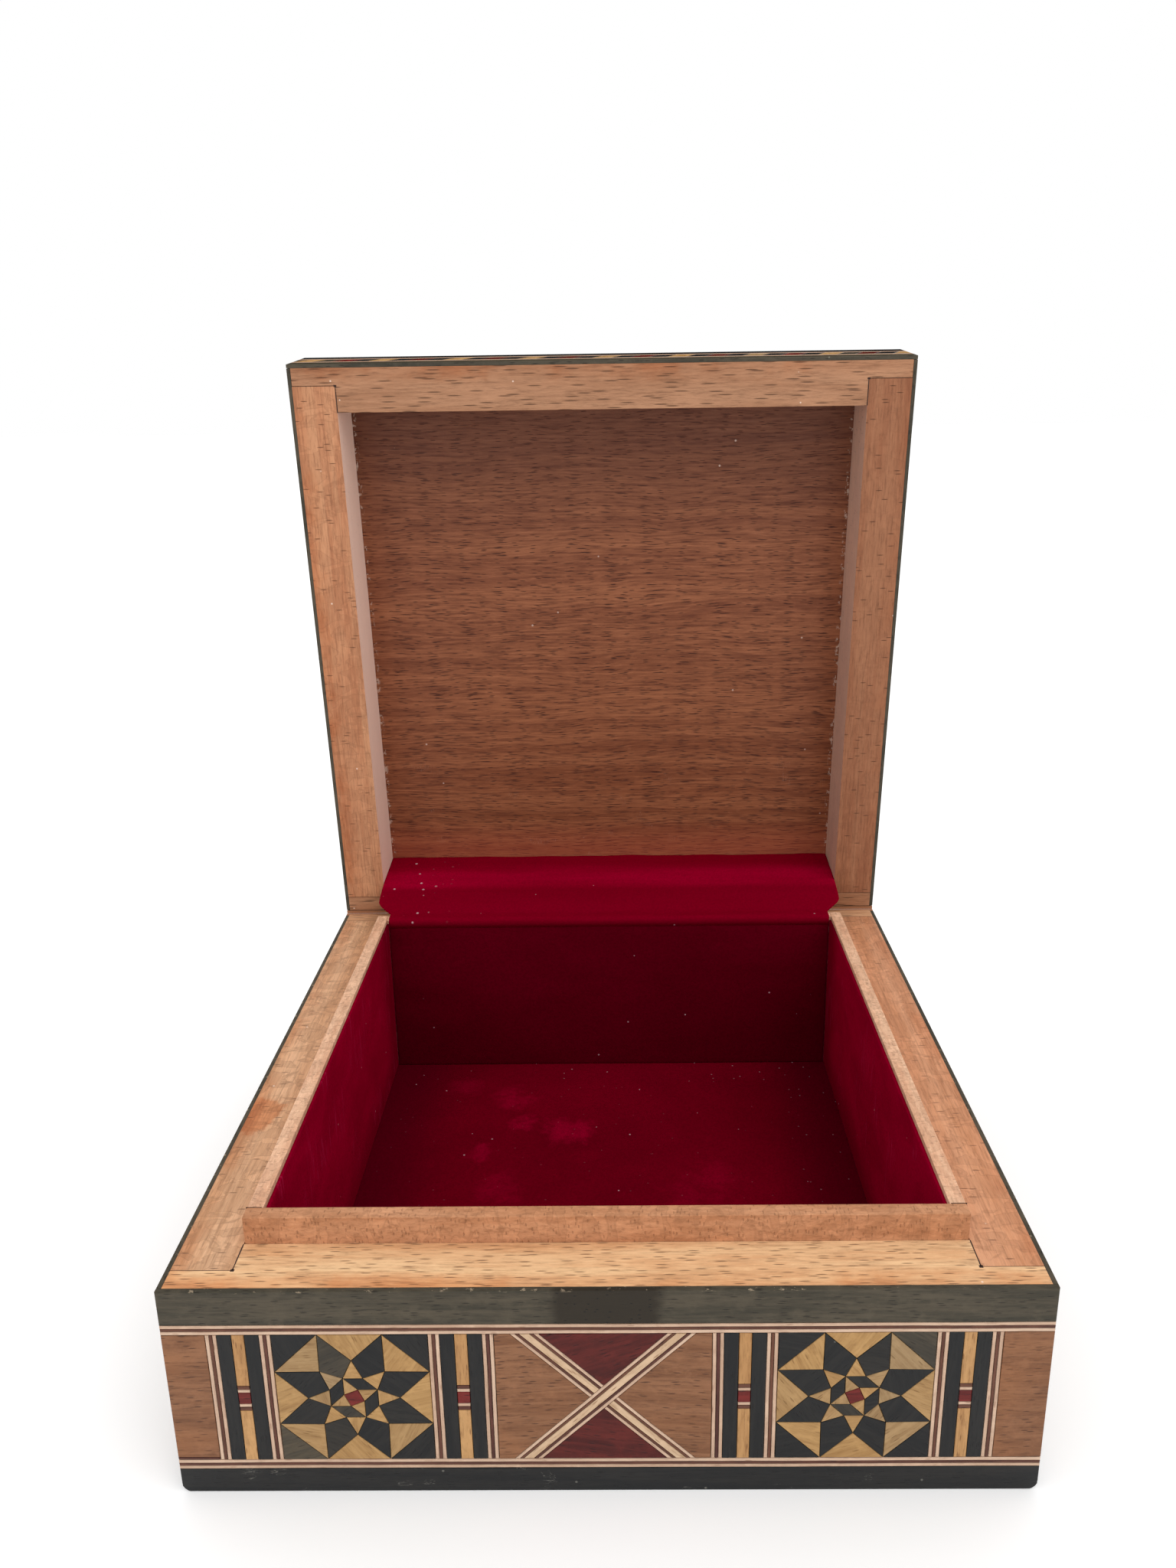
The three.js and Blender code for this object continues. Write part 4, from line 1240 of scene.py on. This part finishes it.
WALL_DROP = 1.1  # how far below the liners' tops the velvet of the walls ends


def add_sheet(node, out, material):
    """The velvet glued to one flat face, in the place of its CAD slab. out is the way its face looks."""
    low, high = node_box(node)
    if out[0]:
        high.z -= WALL_DROP
    out = Vector(out)
    depth_axis = max(range(3), key=lambda axis: abs(out[axis]))
    u_axis, v_axis = [axis for axis in range(3) if axis != depth_axis]
    size_u, size_v = high[u_axis] - low[u_axis], high[v_axis] - low[v_axis]
    thickness = high[depth_axis] - low[depth_axis]
    back = low[depth_axis] if out[depth_axis] > 0 else high[depth_axis]
    rows = []
    for v in spread(size_v, SHEET_STEP):
        row = []
        for u in spread(size_u, SHEET_STEP):
            glued = Vector((0, 0, 0))
            glued[u_axis] = low[u_axis] + u
            glued[v_axis] = low[v_axis] + v
            glued[depth_axis] = back
            row.append((glued + out * pile_height(u, v, size_u, size_v, thickness), glued))
        rows.append(row)
    piece = grid_mesh(node.replace("_velvet", "_lining"), rows, material)
    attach(piece, "base")
    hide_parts(node)


WEB_BULGE = 0.7  # how far the web stands off a straight line
WEB_THICKNESS = 0.6
WEB_SWELL = 0.2
WEB_RAGGED = 0.5  # how far its upper border strays
WEB_GAP = 0.08  # between the web and what it lies on
WEB_SIDE_GAP = 0.05  # between its narrow end and the side walls' velvet
WEB_STEP = 3.0
WEB_WIDENS = 0.3  # the share of its free run over which it takes its full width
WEB_HEM = 2.2  # how far its lower end reaches down the back wall
HEM_THIN = 0.04  # the share of its thickness at the hem
HEM_ROWS = 4  # of its mesh, over which it comes to its full thickness
FOLD_RADIUS = 1.1
BETWEEN = 5.0  # how far from a border the web's pile is taken to be, lengthwise


def web_path():
    """The web's underside in Y and Z: up the back wall, over its liner, up to the lid's rim and along its
    board. Returns the points, and the two between which it turns with the lid."""
    wall_low, _ = node_box("back_velvet")
    _, liner_high = node_box("back_liner")
    _, velvet_high = node_box("lid_back_velvet", LID)
    lid_to_base = BASE.inverted() @ LID
    inner = velvet_high.y + WEB_GAP
    edge = lid_to_base @ Vector((0, inner, WEB_GAP))
    deep = lid_to_base @ Vector((0, inner, velvet_high.z))
    leaving = Vector((0, liner_high.y, liner_high.z + WEB_GAP))
    corner = Vector((0, wall_low.y - WEB_GAP, liner_high.z + WEB_GAP))
    points = [corner - Vector((0, 0, WEB_HEM)), corner - Vector((0, 0, FOLD_RADIUS))]
    pivot = corner + Vector((0, FOLD_RADIUS, -FOLD_RADIUS))
    for degrees in (22.5, 45, 67.5, 90):
        angle = math.radians(180 - degrees)
        points.append(pivot + Vector((0, math.cos(angle), math.sin(angle))) * FOLD_RADIUS)
    folded = len(points)
    for start, end, count in ((points[-1], leaving, 3), (leaving, edge, 12), (edge, deep, 12)):
        points += [start.lerp(end, index / count) for index in range(1, count + 1)]
    soft = points[:]
    for index in range(folded, len(points) - 1):
        soft[index] = (points[index - 1] + points[index] * 2 + points[index + 1]) / 4
    return soft, leaving, edge


def add_web():
    """The one strip of velvet that covers the back liner's top, the gap and the lid's back board."""
    path, leaving, edge = web_path()
    narrow = node_box("back_velvet")[1].x - WEB_SIDE_GAP
    wide = node_box("lid_back_velvet")[1].x
    across = spread(2 * wide, WEB_STEP)
    rows = []
    for index, here in enumerate(path):
        before, after = path[max(0, index - 1)], path[min(len(path) - 1, index + 1)]
        along = (after - before).normalized()
        normal = Vector((0, -along.z, along.y))
        past = max(0.0, min(1.0, (here.y - leaving.y) / (edge.y - leaving.y)))
        half = narrow + (wide - narrow) * min(1.0, past / WEB_WIDENS)
        last = min(1.0, (len(path) - 1 - index) / 2)
        hem = HEM_THIN + (1 - HEM_THIN) * min(1.0, index / HEM_ROWS)
        row = []
        for u in across:
            x = (u - wide) * half / wide
            swell = WEB_SWELL * noise.noise(Vector((x * 0.06, index * 0.25, 3))) * min(1.0, index / 3)
            lift = WEB_BULGE * math.sin(math.pi * past) + swell
            ragged = (1 - last) * WEB_RAGGED * noise.noise(Vector((x * 0.12, 7, 1)))
            lower = Vector((x, here.y, here.z)) + normal * lift + along * ragged
            height = pile_height(u, BETWEEN, 2 * wide, 2 * BETWEEN, WEB_THICKNESS) * hem
            row.append((lower + normal * height, lower))
        rows.append(row)
    # Painted light: the web's velvet is given lighter reds than the back wall's.
    material = velvet("velvet_web", rgb(138, 0, 32), rgb(158, 0, 42), 5, (70, 7, 7), 0.3, paint_web_detail)
    piece = grid_mesh("velvet_web", rows, material)
    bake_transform(piece)
    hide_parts("hinge_web", "lid_back_velvet")


def add_velvet():
    # Painted light and shade: the faces are one velvet, painted lighter on the sides and the web, darker on
    # the floor and darkest on the back wall, as light and sheen fall on them.
    floor = velvet("velvet_floor", rgb(102, 0, 20), rgb(116, 0, 24), 1, (40, 34, 30), 0.2, paint_floor_detail)
    sides = velvet("velvet_sides", rgb(128, 0, 32), rgb(150, 0, 40), 2, (26, 20, 12), 0.4, paint_side_detail)
    back = velvet("velvet_back", BACK_WALL_SHADED, rgb(104, 0, 24), 3, (36, 20, 16), 0.1, paint_back_detail)
    add_sheet("floor_velvet", (0, 0, 1), floor)
    add_sheet("left_velvet", (1, 0, 0), sides)
    add_sheet("right_velvet", (-1, 0, 0), sides)
    add_sheet("front_velvet", (0, 1, 0), sides)
    add_sheet("back_velvet", (0, -1, 0), back)
    add_web()


# ---- Stage ----

STAGE_REACH = 6.0  # metres
WHITE = (1.0, 1.0, 1.0, 1.0)


def add_floor():
    """A white floor that glows a little, so that it stays white round the box."""
    finish = Finish("stage_white", rgb(250, 250, 250), 0.9, 0.2)
    spot = finish.node("ShaderNodeTexCoord").outputs["Object"]
    finish.tint(rgb(247, 247, 247), finish.noise(spot, (1.5, 1.5, 1.5), 2), 0.3, 0.7)
    finish.surface("Emission Color", WHITE)
    finish.surface("Emission Strength", 0.14)
    mesh = bmesh.new()
    corners = rectangle(-STAGE_REACH, -STAGE_REACH, STAGE_REACH, STAGE_REACH)
    mesh.faces.new([mesh.verts.new((corner.x, corner.y, 0)) for corner in corners])
    add_piece("stage_floor", mesh, [finish.done()])


def add_light():
    """An even white sky, and a broad sun at the front right."""
    world = bpy.data.worlds.new("studio")
    world.use_nodes = True
    background = world.node_tree.nodes["Background"]
    background.inputs["Color"].default_value = WHITE
    background.inputs["Strength"].default_value = 1.0
    bpy.context.scene.world = world
    bpy.context.scene.view_settings.view_transform = "Standard"
    lamp = bpy.data.lights.new("sun", "SUN")
    lamp.energy = 0.6
    lamp.angle = math.radians(50)
    light = bpy.data.objects.new("sun", lamp)
    light.rotation_euler = Vector((-0.4, 0.5, -1.0)).to_track_quat("-Z", "Y").to_euler()
    bpy.context.scene.collection.objects.link(light)


def add_camera():
    """The viewpoint: just in front of the box, looking slightly down over its front edge."""
    lens = bpy.data.cameras.new("camera")
    lens.sensor_width = 36
    lens.lens = 27.39
    lens.shift_x = -0.01006
    lens.shift_y = -0.02085
    lens.clip_start = 0.01
    camera = bpy.data.objects.new("camera", lens)
    camera.location = (0.00323, -0.24588, 0.19111)
    camera.rotation_euler = Euler([math.radians(angle) for angle in (73.164, 0.78, 0.49)])
    bpy.context.scene.collection.objects.link(camera)
    bpy.context.scene.camera = camera


veneers = {name: veneer(name) for name in VENEERS}
# Dark joint strips: dirt, and painted shade in the gaps.
joint_dirt_and_shade = plain("joint_dirt_and_shade", rgb(58, 34, 24), 0.9)
add_camera()
add_floor()
add_light()
add_front()
add_base_skins()
add_lid_skins()
add_boards()
add_joints()
add_hardware()
add_velvet()

bpy.context.view_layer.update()
